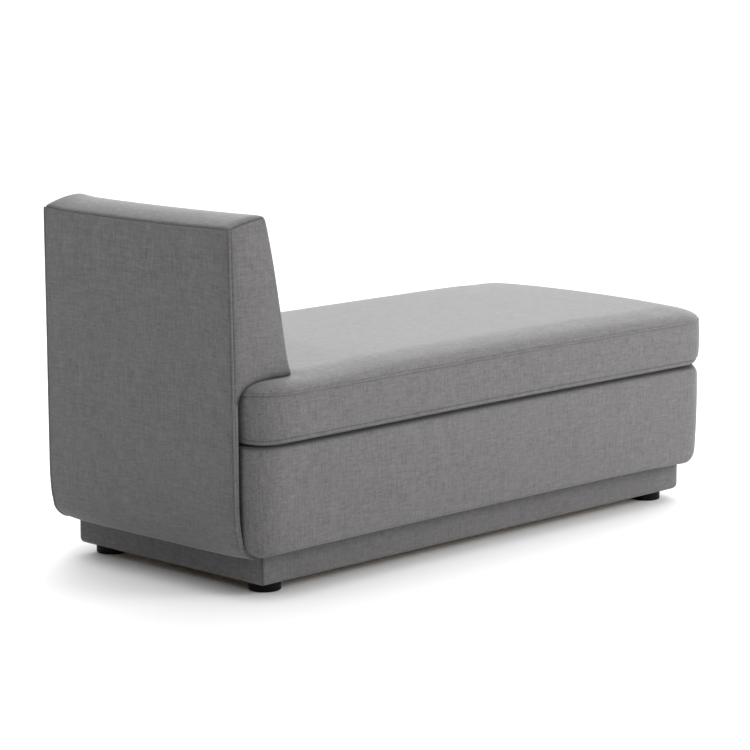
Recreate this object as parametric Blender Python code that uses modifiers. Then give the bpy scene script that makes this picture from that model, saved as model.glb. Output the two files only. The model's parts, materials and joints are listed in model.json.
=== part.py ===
"""Single-ended chaise seat: fabric box base on a recessed plinth, a boxed seat cushion and a wedge back.

Metres, +Z up. The origin is on the floor under the middle of the seat. The sitter faces -Y, the wedge back
stands at +Y, and left and right are the sitter's own (left is +X).
"""
from math import cos, exp, pi, sin, sqrt

import bmesh
import bpy
from mathutils import Vector

# Gap kept between pieces that touch
CLEAR = 0.0003

# Cloth and padding
CLOTH = 0.0016
BASE_PAD = 0.014
SIDE_PAD = 0.010

# Base box
BASE_WIDTH = 0.670
BASE_LENGTH = 1.400
BASE_UNDERSIDE = 0.0915
BASE_TOP = 0.312
BASE_CORNER = 0.078
BASE_LOWER_EDGE = 0.030
BASE_UPPER_EDGE = 0.014
BASE_WAIST = 0.004
BOARD = 0.018
BOARD_LIFT = 0.010
FLOOR_PLY = 0.012
CROSS_RAIL_WIDTH = 0.040
CROSS_RAIL_HEIGHT = 0.090
CROSS_RAIL_PLACE = 0.230

# Plinth and feet
PLINTH_SIDE_INSET = 0.0545
PLINTH_FRONT_INSET = 0.041
PLINTH_REAR_INSET = 0.0555
PLINTH_UNDERSIDE = 0.028
PLINTH_CORNER = 0.016
PLINTH_EDGE = 0.010
PLINTH_BOARD = 0.024
PLINTH_BLOCK = 0.095
FOOT_RADIUS = 0.033
FOOT_SIDE_INSET = 0.048
FOOT_FRONT_INSET = 0.0627
FOOT_REAR_INSET = 0.0517
FOOT_EDGE = 0.0025
STUD_RADIUS = 0.004
STUD_IN_FOOT = 0.020
STUD_IN_BLOCK = 0.034

# Seat webbing and cushion
STRAP = 0.002
SEAT_STRAP_WIDTH = 0.060
SEAT_STRAP_COUNT = 6
DECK_CLOTH = 0.0008
CUSHION_PROUD = 0.003
CUSHION_SEAM = 0.412
CUSHION_SHOULDER = 0.018
CUSHION_SHOULDER_REACH = 0.010
CUSHION_CROWN = 0.018
CUSHION_CROWN_REACH = 0.090
CUSHION_CORNER = 0.092
CUSHION_LOWER_EDGE = 0.018
CUSHION_BULGE = 0.003
CUSHION_WAIST = 0.005
# Lines across the cushion's top, counted in from its seam
SHOULDER_LINES = (0.0, 0.006, 0.018, 0.045, 0.100, 0.190)

# Wedge back
BACK_SIDE_INSET = 0.0507
BACK_TAPER = 0.0053
BACK_UNDERSIDE = 0.0875
BACK_SLAB = 0.0155
BACK_LIP = 0.020
BACK_LIP_HEIGHT = 0.060
BACK_CORNER = 0.030
BACK_SEAM = 0.737
BACK_SEAM_RISE = 0.009
BACK_LEAN = 0.0077
BACK_TOP_DEPTH = 0.088
BACK_FOOT_DEPTH = 0.155
BACK_CROWN = 0.025
BACK_CROWN_FALL = 0.35
BACK_EDGE = 0.004
BACK_TOP_FOAM = 0.021
BACK_FRONT_FOAM = 0.042
BACK_RAIL = 0.045
BACK_STRAP_WIDTH = 0.050
BACK_STRAP_COUNT = 3
WEDGE_UNDERSIDE = 0.4376
# Where the side of the back leaves the flat of the seat and turns down behind it
MOUTH_FLAT = 0.050
MOUTH_TURN = 0.010
MOUTH_DROP = 0.006

# Bolts that hold the back panel to the base
BOLT_RADIUS = 0.004
BOLT_HEAD_RADIUS = 0.007
BOLT_HEAD = 0.005
BOLT_IN_PANEL = 0.009
BOLT_SPREAD = 0.180
BOLT_HEIGHTS = (0.160, 0.265)

# Facets
ARC_STEPS = 6
EDGE_STEPS = 4
ROUND_STEPS = 24
HOLE_STEPS = 12
SIDE_SPANS = 6
END_SPANS = 3

# Places that follow from the driving dimensions
WRAP = CLOTH + BASE_PAD + 2 * CLEAR
LAYER = CLOTH + CLEAR
HALF_WIDTH = BASE_WIDTH / 2
BACK_WIDTH = BASE_WIDTH - 2 * BACK_SIDE_INSET
BACK_FRAME_TOP = BACK_SEAM - BACK_TOP_FOAM
HALF_LENGTH = BASE_LENGTH / 2
FRONT_REACH = CUSHION_PROUD + CUSHION_BULGE
REAR_REACH = CLEAR + BACK_SLAB + BACK_LEAN
BASE_MIDDLE = (FRONT_REACH - REAR_REACH) / 2
BASE_FRONT = BASE_MIDDLE - HALF_LENGTH
BASE_REAR = BASE_MIDDLE + HALF_LENGTH
CUSHION_FRONT = BASE_FRONT - CUSHION_PROUD
CUSHION_REAR = BASE_REAR - CUSHION_BULGE - CLEAR
CUSHION_MIDDLE = (CUSHION_FRONT + CUSHION_REAR) / 2
CUSHION_HALF_LENGTH = (CUSHION_REAR - CUSHION_FRONT) / 2
SLAB_FACE = BASE_REAR + CLEAR + BACK_SLAB
BOARD_FOOT = BASE_UNDERSIDE + BOARD_LIFT
BOARD_TOP = BASE_TOP - STRAP - DECK_CLOTH - 2 * CLEAR
POST = BASE_CORNER - WRAP
DECK_INSET = max(WRAP, BASE_UPPER_EDGE + BASE_WAIST + CLOTH + CLEAR)
SEAT_UNDERSIDE = BASE_TOP + CLEAR
WEDGE_RIM = WEDGE_UNDERSIDE + CLOTH / 2
BLOCK_FOOT = PLINTH_UNDERSIDE + LAYER
BLOCK_TOP = BOARD_FOOT - CLEAR
FOOT_HEIGHT = BLOCK_FOOT - CLEAR
PLINTH_HALF_WIDTH = HALF_WIDTH - PLINTH_SIDE_INSET
PLINTH_FRONT = BASE_FRONT + PLINTH_FRONT_INSET
PLINTH_REAR = BASE_REAR - PLINTH_REAR_INSET
PLINTH_MIDDLE = (PLINTH_FRONT + PLINTH_REAR) / 2
PLINTH_HALF_LENGTH = (PLINTH_REAR - PLINTH_FRONT) / 2

SIDES = (("left", 1), ("right", -1))
ENDS = (("front", -1), ("rear", 1))


def clear_scene():
    for item in list(bpy.data.objects):
        bpy.data.objects.remove(item, do_unlink=True)


def new_collection(name):
    group = bpy.data.collections.new(name)
    bpy.context.scene.collection.children.link(group)
    return group


def finish(name, colour, roughness, metallic=0.0):
    material = bpy.data.materials.new(name)
    material.use_nodes = True
    shader = material.node_tree.nodes["Principled BSDF"]
    shader.inputs["Base Color"].default_value = (*colour, 1.0)
    shader.inputs["Roughness"].default_value = roughness
    shader.inputs["Metallic"].default_value = metallic
    return material


def add_object(name, mesh_builder, material, group):
    mesh = bpy.data.meshes.new(name)
    mesh_builder.to_mesh(mesh)
    mesh_builder.free()
    item = bpy.data.objects.new(name, mesh)
    mesh.materials.append(material)
    group.objects.link(item)
    return item


def add_box(name, low, high, material, group):
    """A board or rail between two corners."""
    builder = bmesh.new()
    bmesh.ops.create_cube(builder, size=1.0)
    size = [b - a for a, b in zip(low, high)]
    middle = [(a + b) / 2 for a, b in zip(low, high)]
    bmesh.ops.scale(builder, vec=size, verts=builder.verts)
    bmesh.ops.translate(builder, vec=middle, verts=builder.verts)
    return add_object(name, builder, material, group)


def add_turned(name, profile, steps, place, material, group):
    """A turned piece: a profile of (radius, height), down its outer side, spun about +Z."""
    builder = bmesh.new()
    points = [builder.verts.new((radius, 0.0, height)) for radius, height in profile]
    for first, second in zip(points, points[1:]):
        builder.edges.new((first, second))
    item = add_object(name, builder, material, group)
    item.location = place
    screw = item.modifiers.new("turn", "SCREW")
    screw.steps = steps
    screw.render_steps = steps
    screw.use_merge_vertices = True
    screw.merge_threshold = 0.00001
    return item


def loft(name, sections, strip, caps, material, group):
    """Skin over closed or open sections of equal length. strip lists the joined point pairs of a section."""
    builder = bmesh.new()
    rows = [[builder.verts.new(point) for point in section] for section in sections]
    for row, following in zip(rows, rows[1:]):
        for first, second in strip:
            builder.faces.new((row[first], row[second], following[second], following[first]))
    if caps[0]:
        builder.faces.new(rows[0])
    if caps[1]:
        builder.faces.new(rows[-1])
    bmesh.ops.recalc_face_normals(builder, faces=builder.faces)
    return add_object(name, builder, material, group)


def closed_strip(count):
    return [(index, (index + 1) % count) for index in range(count)]


def give_thickness(item, thickness):
    """Cloth grows inwards from its outer face."""
    wall = item.modifiers.new("cloth", "SOLIDIFY")
    wall.thickness = thickness
    wall.offset = -1.0
    wall.use_even_offset = True


def cut_with(item, cutter):
    cut = item.modifiers.new("holes", "BOOLEAN")
    cut.operation = "DIFFERENCE"
    cut.solver = "EXACT"
    cut.object = cutter


def hide_cutter(item):
    item.hide_render = True
    item.display_type = "WIRE"


def waist_at(place, half_straight, depth):
    """How far a long side is drawn in at a place along it."""
    share = min(1.0, abs(place) / half_straight)
    return depth * cos(share * pi / 2) ** 2


def plan_ring(half_x, half_y, middle, corner, waist):
    """Rounded rectangle in plan, counter-clockwise, as (point, outward normal)."""
    ring = []
    straight_x = half_x - corner
    straight_y = half_y - corner
    for start, sign_x, sign_y in ((-pi / 2, 1, -1), (0.0, 1, 1), (pi / 2, -1, 1), (pi, -1, -1)):
        for step in range(ARC_STEPS + 1):
            angle = start + step * pi / 2 / ARC_STEPS
            normal = Vector((cos(angle), sin(angle), 0.0))
            ring.append((Vector((sign_x * straight_x, sign_y * straight_y, 0.0)) + corner * normal, normal))
        long_side = sign_x == -sign_y
        spans = SIDE_SPANS if long_side else END_SPANS
        for step in range(1, spans):
            share = 1.0 - 2.0 * step / spans
            if long_side:
                along = sign_y * straight_y * share
                draw = waist_at(along, straight_y, waist)
                ring.append((Vector((sign_x * (half_x - draw), along, 0.0)), Vector((sign_x, 0.0, 0.0))))
            else:
                along = sign_x * straight_x * share
                ring.append((Vector((along, sign_y * half_y, 0.0)), Vector((0.0, sign_y, 0.0))))
    shift = Vector((0.0, middle, 0.0))
    return [(point + shift, normal) for point, normal in ring]


def ring_at(half_x, half_y, middle, corner, waist, inset, height):
    rows = plan_ring(half_x - inset, half_y - inset, middle, corner - inset, waist)
    return [Vector((point.x, point.y, height)) for point, normal in rows]


def round_edge(radius, height, upwards):
    """(inset, height) pairs of a rounded edge: from below up to the side, or from the side up to the top."""
    pairs = []
    for step in range(EDGE_STEPS + 1):
        angle = step * pi / 2 / EDGE_STEPS
        rise = radius * (1 - cos(angle))
        pairs.append((radius * (1 - sin(angle)), height + rise if upwards else height - rise))
    return pairs if upwards else pairs[::-1]


def make_feet(parts, cutters, plastic, steel):
    """Four turned feet, each on a threaded stud. Returns the cutter of the stud holes in the blocks."""
    holes = bmesh.new()
    bore = STUD_RADIUS + CLEAR
    for end, sign_y in ENDS:
        for side, sign_x in SIDES:
            x = sign_x * (PLINTH_HALF_WIDTH - FOOT_SIDE_INSET)
            inset = FOOT_REAR_INSET if sign_y > 0 else FOOT_FRONT_INSET
            y = PLINTH_MIDDLE + sign_y * (PLINTH_HALF_LENGTH - inset)
            bore_foot = FOOT_HEIGHT - STUD_IN_FOOT
            profile = [
                (0.0, bore_foot), (bore, bore_foot), (bore, FOOT_HEIGHT),
                (FOOT_RADIUS - FOOT_EDGE, FOOT_HEIGHT), (FOOT_RADIUS, FOOT_HEIGHT - FOOT_EDGE),
                (FOOT_RADIUS, FOOT_EDGE), (FOOT_RADIUS - FOOT_EDGE, 0.0), (0.0, 0.0),
            ]
            add_turned(f"foot_{end}_{side}", profile, ROUND_STEPS, (x, y, 0.0), plastic, parts)
            stud_low = bore_foot + CLEAR
            stud_high = BLOCK_FOOT + STUD_IN_BLOCK - CLEAR
            stud = [(0.0, stud_high), (STUD_RADIUS, stud_high), (STUD_RADIUS, stud_low), (0.0, stud_low)]
            add_turned(f"foot_stud_{end}_{side}", stud, HOLE_STEPS, (x, y, 0.0), steel, parts)
            added = bmesh.ops.create_cone(holes, cap_ends=True, segments=HOLE_STEPS, radius1=bore,
                                          radius2=bore, depth=2 * STUD_IN_BLOCK)
            bmesh.ops.translate(holes, vec=(x, y, BLOCK_FOOT), verts=added["verts"])
    cutter = add_object("stud_holes", holes, steel, cutters)
    hide_cutter(cutter)
    return cutter


def add_corner_block(name, corner, signs, size, radius, levels, material, group):
    """Square post with its outer corner rounded, from its sharp outer corner in plan.

    levels lists (inset of the outer faces, height) pairs, from the post's foot to its top.
    """
    sign_x, sign_y = signs
    sections = []
    for inset, height in levels:
        outline = [(size, size)]
        if size - radius > CLEAR:
            outline.append((size, inset))
        for step in range(ARC_STEPS + 1):
            angle = step * pi / 2 / ARC_STEPS
            reach = radius - inset
            outline.append((radius - reach * sin(angle), radius - reach * cos(angle)))
        if size - radius > CLEAR:
            outline.append((inset, size))
        sections.append([(corner[0] - sign_x * x, corner[1] - sign_y * y, height) for x, y in outline])
    return loft(name, sections, closed_strip(len(sections[0])), (True, True), material, group)


def add_plinth_board(name, place, facing, reach, levels, material, group):
    """Board between two blocks, its lower outer edge rounded. place is the middle of its outer face."""
    along = Vector((-facing.y, facing.x, 0.0))
    profile = [(-inset, height) for inset, height in levels]
    profile += [(-PLINTH_BOARD, levels[-1][1]), (-PLINTH_BOARD, levels[0][1])]
    sections = []
    for side in (-reach, reach):
        sections.append([place + along * side + facing * out + Vector((0.0, 0.0, height))
                         for out, height in profile])
    return loft(name, sections, closed_strip(len(profile)), (True, True), material, group)


def make_plinth(parts, stud_cutter, timber, cloth):
    half_x = PLINTH_HALF_WIDTH - LAYER
    half_y = PLINTH_HALF_LENGTH - LAYER
    levels = round_edge(PLINTH_EDGE - LAYER, BLOCK_FOOT, True) + [(0.0, BLOCK_TOP)]
    for end, sign_y in ENDS:
        for side, sign_x in SIDES:
            corner = (sign_x * half_x, PLINTH_MIDDLE + sign_y * half_y)
            block = add_corner_block(f"plinth_block_{end}_{side}", corner, (sign_x, sign_y), PLINTH_BLOCK,
                                     PLINTH_CORNER - LAYER, levels, timber, parts)
            cut_with(block, stud_cutter)
        place = Vector((0.0, PLINTH_MIDDLE + sign_y * half_y, 0.0))
        add_plinth_board(f"plinth_{end}_board", place, Vector((0.0, sign_y, 0.0)),
                         half_x - PLINTH_BLOCK - CLEAR, levels, timber, parts)
    for side, sign_x in SIDES:
        place = Vector((sign_x * half_x, PLINTH_MIDDLE, 0.0))
        add_plinth_board(f"plinth_{side}_board", place, Vector((sign_x, 0.0, 0.0)),
                         half_y - PLINTH_BLOCK - CLEAR, levels, timber, parts)
    pairs = round_edge(PLINTH_EDGE, PLINTH_UNDERSIDE, True)
    pairs.append((0.0, BOARD_FOOT - CLEAR))
    rings = [ring_at(PLINTH_HALF_WIDTH, PLINTH_HALF_LENGTH, PLINTH_MIDDLE, PLINTH_CORNER, 0.0, inset, height)
             for inset, height in pairs]
    cover = loft("plinth_cover", rings, closed_strip(len(rings[0])), (False, False), cloth, parts)
    give_thickness(cover, CLOTH)


def make_base_frame(parts, bolt_cutter, timber):
    half_x = HALF_WIDTH - WRAP
    half_y = HALF_LENGTH - WRAP
    for end, sign_y in ENDS:
        for side, sign_x in SIDES:
            corner = (sign_x * half_x, BASE_MIDDLE + sign_y * half_y)
            add_corner_block(f"base_post_{end}_{side}", corner, (sign_x, sign_y), POST, POST,
                             ((0.0, BOARD_FOOT), (0.0, BOARD_TOP)), timber, parts)
        near = BASE_MIDDLE + sign_y * (half_y - BOARD)
        far = BASE_MIDDLE + sign_y * half_y
        reach = half_x - POST - CLEAR
        board = add_box(f"base_{end}_board", (-reach, min(near, far), BOARD_FOOT),
                        (reach, max(near, far), BOARD_TOP), timber, parts)
        if end == "rear":
            cut_with(board, bolt_cutter)
    inner_x = half_x - BOARD - CLEAR
    for side, sign_x in SIDES:
        near = sign_x * (half_x - BOARD)
        far = sign_x * half_x
        reach = half_y - POST - CLEAR
        add_box(f"base_{side}_board", (min(near, far), BASE_MIDDLE - reach, BOARD_FOOT),
                (max(near, far), BASE_MIDDLE + reach, BOARD_TOP), timber, parts)
    for end, sign_y in ENDS:
        middle = BASE_MIDDLE + sign_y * CROSS_RAIL_PLACE
        low = BOARD_FOOT + FLOOR_PLY + CLEAR
        add_box(f"base_{end}_cross_rail", (-inner_x, middle - CROSS_RAIL_WIDTH / 2, low),
                (inner_x, middle + CROSS_RAIL_WIDTH / 2, low + CROSS_RAIL_HEIGHT), timber, parts)
    inner_y = half_y - POST - CLEAR
    add_box("base_floor", (-inner_x, BASE_MIDDLE - inner_y, BOARD_FOOT),
            (inner_x, BASE_MIDDLE + inner_y, BOARD_FOOT + FLOOR_PLY), timber, parts)


def pad_section():
    """Base pad as (outset from the boards, height, drawn in with the side), closed round the board's foot."""
    section = []
    for inset, height in round_edge(BASE_LOWER_EDGE - LAYER, BASE_UNDERSIDE + LAYER, True):
        section.append((BASE_PAD - inset, height, True))
    for inset, height in round_edge(BASE_UPPER_EDGE - LAYER, BASE_TOP - LAYER, False):
        section.append((BASE_PAD - inset, height, True))
    section.append((0.0, BASE_TOP - LAYER, False))
    section.append((0.0, BOARD_FOOT - CLEAR, False))
    section.append((BASE_PAD - BASE_LOWER_EDGE + LAYER, BOARD_FOOT - CLEAR, False))
    return section


def make_base_pads(parts, bolt_cutter, foam):
    """Foam round the box, one length a side, butted half way round each corner post."""
    half_x = HALF_WIDTH - WRAP + CLEAR
    half_y = HALF_LENGTH - WRAP + CLEAR
    path = plan_ring(half_x, half_y, BASE_MIDDLE, POST + CLEAR, 0.0)
    section = pad_section()
    corner_points = ARC_STEPS + 1
    half_arc = ARC_STEPS // 2
    starts = [half_arc]
    for spans in (SIDE_SPANS, END_SPANS, SIDE_SPANS):
        starts.append(starts[-1] + corner_points + spans - 1)
    starts.append(len(path) + half_arc)
    straight_y = half_y - POST
    for name, first, last in zip(("left", "rear", "right", "front"), starts, starts[1:]):
        places = [path[index % len(path)] for index in range(first, last + 1)]
        sections = []
        for index, (point, normal) in enumerate(places):
            start = point.copy()
            if index in (0, len(places) - 1):
                along = normal.cross(Vector((0.0, 0.0, 1.0)))
                start += along * (CLEAR if index else -CLEAR)
            draw = 0.0
            if name in ("left", "right"):
                draw = waist_at(point.y - BASE_MIDDLE, straight_y, BASE_WAIST)
            row = []
            for outset, height, drawn in section:
                moved = start + normal * (outset - draw if drawn else outset)
                row.append(Vector((moved.x, moved.y, height)))
            sections.append(row)
        pad = loft(f"base_{name}_pad", sections, closed_strip(len(section)), (True, True), foam, parts)
        if name == "rear":
            cut_with(pad, bolt_cutter)


def make_base_cover(parts, bolt_cutter, cloth):
    pairs = round_edge(BASE_LOWER_EDGE, BASE_UNDERSIDE, True)
    pairs += round_edge(BASE_UPPER_EDGE, BASE_TOP, False)
    rings = [ring_at(HALF_WIDTH, HALF_LENGTH, BASE_MIDDLE, BASE_CORNER, BASE_WAIST, inset, height)
             for inset, height in pairs]
    cover = loft("base_cover", rings, closed_strip(len(rings[0])), (False, False), cloth, parts)
    give_thickness(cover, CLOTH)
    cut_with(cover, bolt_cutter)


def make_deck(parts, webbing, cloth):
    """Elastic straps across the base boards and a cloth over them."""
    half_x = HALF_WIDTH - DECK_INSET
    straight = HALF_LENGTH - BASE_CORNER - SEAT_STRAP_WIDTH / 2
    low = BOARD_TOP + CLEAR
    for index in range(SEAT_STRAP_COUNT):
        middle = BASE_MIDDLE - straight + index * 2 * straight / (SEAT_STRAP_COUNT - 1)
        add_box(f"seat_strap_{index + 1}", (-half_x, middle - SEAT_STRAP_WIDTH / 2, low),
                (half_x, middle + SEAT_STRAP_WIDTH / 2, low + STRAP), webbing, parts)
    cloth_low = low + STRAP + CLEAR
    rings = [ring_at(HALF_WIDTH, HALF_LENGTH, BASE_MIDDLE, BASE_CORNER, 0.0, DECK_INSET, height)
             for height in (cloth_low, cloth_low + DECK_CLOTH)]
    loft("deck_cloth", rings, closed_strip(len(rings[0])), (True, True), cloth, parts)


def spread(half, steps):
    """Grid lines from -half to half: close together near the edges, where the shoulder turns."""
    outer = [half - step for step in steps]
    return [-place for place in outer] + [0.0] + outer[::-1]


def cushion_top(x, y, half_x, half_y, corner, drop):
    """A point of the crowned top over a rounded plan, pressed flat where the wedge back stands."""
    side_x = abs(x) - (half_x - corner)
    side_y = abs(y) - (half_y - corner)
    if side_x > 0.0 and side_y > 0.0:
        bent_x = side_x * sqrt(1 - side_y ** 2 / (2 * corner ** 2))
        bent_y = side_y * sqrt(1 - side_x ** 2 / (2 * corner ** 2))
        inside = corner - sqrt(bent_x ** 2 + bent_y ** 2)
        x = (half_x - corner + bent_x) * (1 if x > 0 else -1)
        y = (half_y - corner + bent_y) * (1 if y > 0 else -1)
    else:
        inside = min(half_x - abs(x), half_y - abs(y))
    x -= waist_at(y, half_y - corner, CUSHION_WAIST) * x / half_x
    height = CUSHION_SEAM + CUSHION_SHOULDER * (1 - exp(-inside / CUSHION_SHOULDER_REACH))
    height += CUSHION_CROWN * (1 - exp(-inside / CUSHION_CROWN_REACH))
    if CUSHION_MIDDLE + y > SLAB_FACE - BACK_FOOT_DEPTH - CUSHION_SHOULDER_REACH:
        height = min(height, WEDGE_UNDERSIDE - CLEAR)
    return Vector((x, CUSHION_MIDDLE + y, height - drop))


def cushion_form(layer):
    """Open-bottomed cushion form, its outer face drawn in by a layer."""
    half_x = HALF_WIDTH + CUSHION_PROUD - layer
    half_y = CUSHION_HALF_LENGTH - layer
    corner = CUSHION_CORNER - layer
    wedge_line = SLAB_FACE - BACK_FOOT_DEPTH - CUSHION_MIDDLE
    lines_x = spread(half_x, SHOULDER_LINES)
    lines_y = [-half_y + step for step in SHOULDER_LINES] + [-0.25 * half_y, 0.25 * half_y]
    lines_y += [wedge_line - CUSHION_CROWN_REACH, wedge_line - 2 * CUSHION_SHOULDER_REACH, wedge_line]
    lines_y += [half_y - step for step in SHOULDER_LINES[-3::-1]]
    builder = bmesh.new()
    bmesh.ops.create_grid(builder, x_segments=len(lines_x) - 1, y_segments=len(lines_y) - 1, size=1.0)
    for vertex in builder.verts:
        column = round((vertex.co.x + 1) / 2 * (len(lines_x) - 1))
        row = round((vertex.co.y + 1) / 2 * (len(lines_y) - 1))
        vertex.co = cushion_top(lines_x[column], lines_y[row], half_x, half_y, corner, layer)
    return builder, half_y, corner


def lower_cushion_sides(builder, half_y, corner, layer):
    """Extrude the rim of the top down the boxed side: bulge, lower seam and rolled lower edge."""
    seam = CUSHION_SEAM - layer
    low = SEAT_UNDERSIDE + layer
    edge = CUSHION_LOWER_EDGE
    turn = edge * (1 - sin(pi / 4))
    steps = [(CUSHION_BULGE, (seam + low) / 2), (0.0, low + edge), (-turn, low + turn), (-edge, low)]
    rim = [item for item in builder.edges if item.is_boundary]
    previous = 0.0
    for outset, height in steps:
        grown = bmesh.ops.extrude_edge_only(builder, edges=rim)["geom"]
        rim = [item for item in grown if isinstance(item, bmesh.types.BMEdge)]
        for vertex in (item for item in grown if isinstance(item, bmesh.types.BMVert)):
            vertex.co += cushion_normal(vertex.co, half_y, corner) * (outset - previous)
            vertex.co.z = height
        previous = outset
    return rim


def cushion_normal(point, half_y, corner):
    """Outward direction of the boxed side in plan."""
    y = point.y - CUSHION_MIDDLE
    over_y = max(0.0, abs(y) - (half_y - corner)) * (1 if y > 0 else -1)
    half_x = HALF_WIDTH + CUSHION_PROUD
    over_x = max(0.0, abs(point.x) - (half_x - CUSHION_CORNER)) * (1 if point.x > 0 else -1)
    return Vector((over_x, over_y, 0.0)).normalized()


def make_seat(parts, foam, cloth):
    for name, layer, material in (("seat_cover", 0.0, cloth), ("seat_foam", LAYER + CLEAR, foam)):
        builder, half_y, corner = cushion_form(layer)
        rim = lower_cushion_sides(builder, half_y, corner, layer)
        if name == "seat_foam":
            bmesh.ops.contextual_create(builder, geom=rim)
        bmesh.ops.recalc_face_normals(builder, faces=builder.faces)
        item = add_object(name, builder, material, parts)
        if name == "seat_cover":
            give_thickness(item, CLOTH)


def back_half_width(height):
    share = (height - BACK_UNDERSIDE) / (BACK_SEAM - BACK_UNDERSIDE)
    return BACK_WIDTH / 2 - BACK_TAPER * share


def lean_at(height):
    start = BACK_UNDERSIDE + BACK_LIP_HEIGHT
    return BACK_LEAN * max(0.0, height - start) / (BACK_SEAM - start)


def front_depth(height):
    """Depth of the wedge's front face in front of the slab's rear face."""
    top = BACK_SEAM + BACK_SEAM_RISE
    share = (top - height) / (top - WEDGE_UNDERSIDE)
    return BACK_TOP_DEPTH + (BACK_FOOT_DEPTH - BACK_TOP_DEPTH) * share


def lip_points(rise, inset):
    """Rounded lower edge of the slab, from its front face round to its rear face."""
    points = []
    reach = BACK_LIP - inset
    first = (BACK_LIP - BACK_SLAB) / reach
    for step in range(EDGE_STEPS + 1):
        share = first + (1 - first) * step / EDGE_STEPS
        drop = (BACK_LIP_HEIGHT - inset) * sqrt(1 - share ** 2)
        points.append((BACK_LIP - reach * share, BACK_UNDERSIDE + rise + BACK_LIP_HEIGHT - drop))
    return points


def crown_at(place):
    """Rise of the arched top at a place across the back, less towards its two ends."""
    return BACK_CROWN * (1 - BACK_CROWN_FALL * (2 * place / BACK_WIDTH) ** 4)


def crown_points(crown, steps):
    """Arched top between the rear seam and the front seam."""
    points = []
    for step in range(steps + 1):
        share = step / steps
        depth = -BACK_LEAN + (BACK_TOP_DEPTH + BACK_LEAN) * share
        points.append((depth, BACK_SEAM + BACK_SEAM_RISE * share + crown * sin(pi * share)))
    return points


def back_path(rise, crown):
    """Outline of the back in (depth, height): round the lip, up the rear, over the top and down the front."""
    path = lip_points(rise, 0.0)
    path.append((-lean_at(WEDGE_UNDERSIDE), WEDGE_UNDERSIDE))
    path += crown_points(crown, 2 * EDGE_STEPS)
    path.append((front_depth(WEDGE_RIM), WEDGE_RIM))
    return path


def inset_path(path, inset):
    """Move an open outline to its right-hand side, the inside of the back."""
    moved = []
    for index, (depth, height) in enumerate(path):
        before = path[max(0, index - 1)]
        after = path[min(len(path) - 1, index + 1)]
        first = Vector((depth - before[0], height - before[1]))
        second = Vector((after[0] - depth, after[1] - height))
        along = first.normalized() if first.length else second.normalized()
        along2 = second.normalized() if second.length else along
        bisector = (along + along2).normalized()
        normal = Vector((bisector.y, -bisector.x))
        stretch = 1 / max(0.5, bisector.dot(along))
        moved.append((depth + normal.x * inset * stretch, height + normal.y * inset * stretch))
    return moved


def corner_rise(place, layer):
    """Rise of the slab's rounded lower corner at a place across the back, for a form drawn in by a layer."""
    radius = BACK_CORNER - layer
    over = max(0.0, abs(place) - (BACK_WIDTH / 2 - BACK_CORNER))
    return radius - sqrt(max(0.0, radius ** 2 - over ** 2))


def back_stations():
    """Places across the back, from right to left, each with the inset of its softened side edge."""
    half = BACK_WIDTH / 2
    straight = half - BACK_CORNER
    places = [straight * step / END_SPANS for step in range(1, END_SPANS)]
    places += [straight + BACK_CORNER * sin(step * pi / 2 / EDGE_STEPS) for step in range(EDGE_STEPS)]
    places = [place for place in places if place < half - BACK_EDGE - CLEAR]
    stations = [(place, 0.0) for place in places] + [(half - BACK_EDGE, 0.0), (half, BACK_EDGE)]
    return [(-place, edge) for place, edge in stations[::-1]] + [(0.0, 0.0)] + stations


def clip_place(place, layer):
    reach = BACK_WIDTH / 2 - layer
    return max(-reach, min(reach, place))


def back_point(place, depth, height):
    x = place * back_half_width(height) / (BACK_WIDTH / 2)
    return Vector((x, SLAB_FACE - depth, height))


def cover_sections(layer, mouth):
    """Sections of the back drawn in by a layer: the outline first, then the points round its open mouth."""
    sections = []
    for station, edge in back_stations():
        place = clip_place(station, layer)
        rise = corner_rise(place, layer)
        path = back_path(rise, crown_at(place))
        lip = lip_points(rise, edge + layer)
        outline = lip + inset_path(path, edge + layer)[len(lip):]
        outline[-1] = (outline[-1][0], WEDGE_RIM)
        sections.append([back_point(place, depth, height) for depth, height in outline + mouth])
    return sections


def make_back_cover(parts, cloth):
    """Cloth over the slab, top and wedge, open where the back faces the seat."""
    mouth = [(BACK_SLAB + MOUTH_FLAT, WEDGE_RIM), (BACK_SLAB + MOUTH_TURN, WEDGE_RIM - MOUTH_DROP),
             (BACK_SLAB - lean_at(CUSHION_SEAM), CUSHION_SEAM)]
    builder = bmesh.new()
    skins = []
    for layer in (0.0, CLOTH):
        rows = [[builder.verts.new(point) for point in section] for section in cover_sections(layer, mouth)]
        skins.append(rows)
    last = len(skins[0][0]) - len(mouth) - 1
    for rows in skins:
        for row, following in zip(rows, rows[1:]):
            for index in range(last):
                builder.faces.new((row[index], row[index + 1], following[index + 1], following[index]))
        builder.faces.new(rows[0])
        builder.faces.new(rows[-1])
    outer, inner = skins
    for station in range(len(outer) - 1):
        for index in (0, last):
            builder.faces.new((outer[station][index], outer[station + 1][index],
                               inner[station + 1][index], inner[station][index]))
    rim = list(range(last, len(outer[0]))) + [0]
    for station in (0, -1):
        for first, second in zip(rim, rim[1:]):
            builder.faces.new((outer[station][first], outer[station][second],
                               inner[station][second], inner[station][first]))
    unused = [vertex for vertex in builder.verts if not vertex.link_faces]
    bmesh.ops.delete(builder, geom=unused, context="VERTS")
    bmesh.ops.recalc_face_normals(builder, faces=builder.faces)
    add_object("back_cover", builder, cloth, parts)


def add_across(name, outline, low, high, material, group):
    """A piece of constant section across the back, following its taper between two places."""
    sections = [[back_point(place, depth, height) for depth, height in outline] for place in (low, high)]
    return loft(name, sections, closed_strip(len(outline)), (True, True), material, group)


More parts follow.
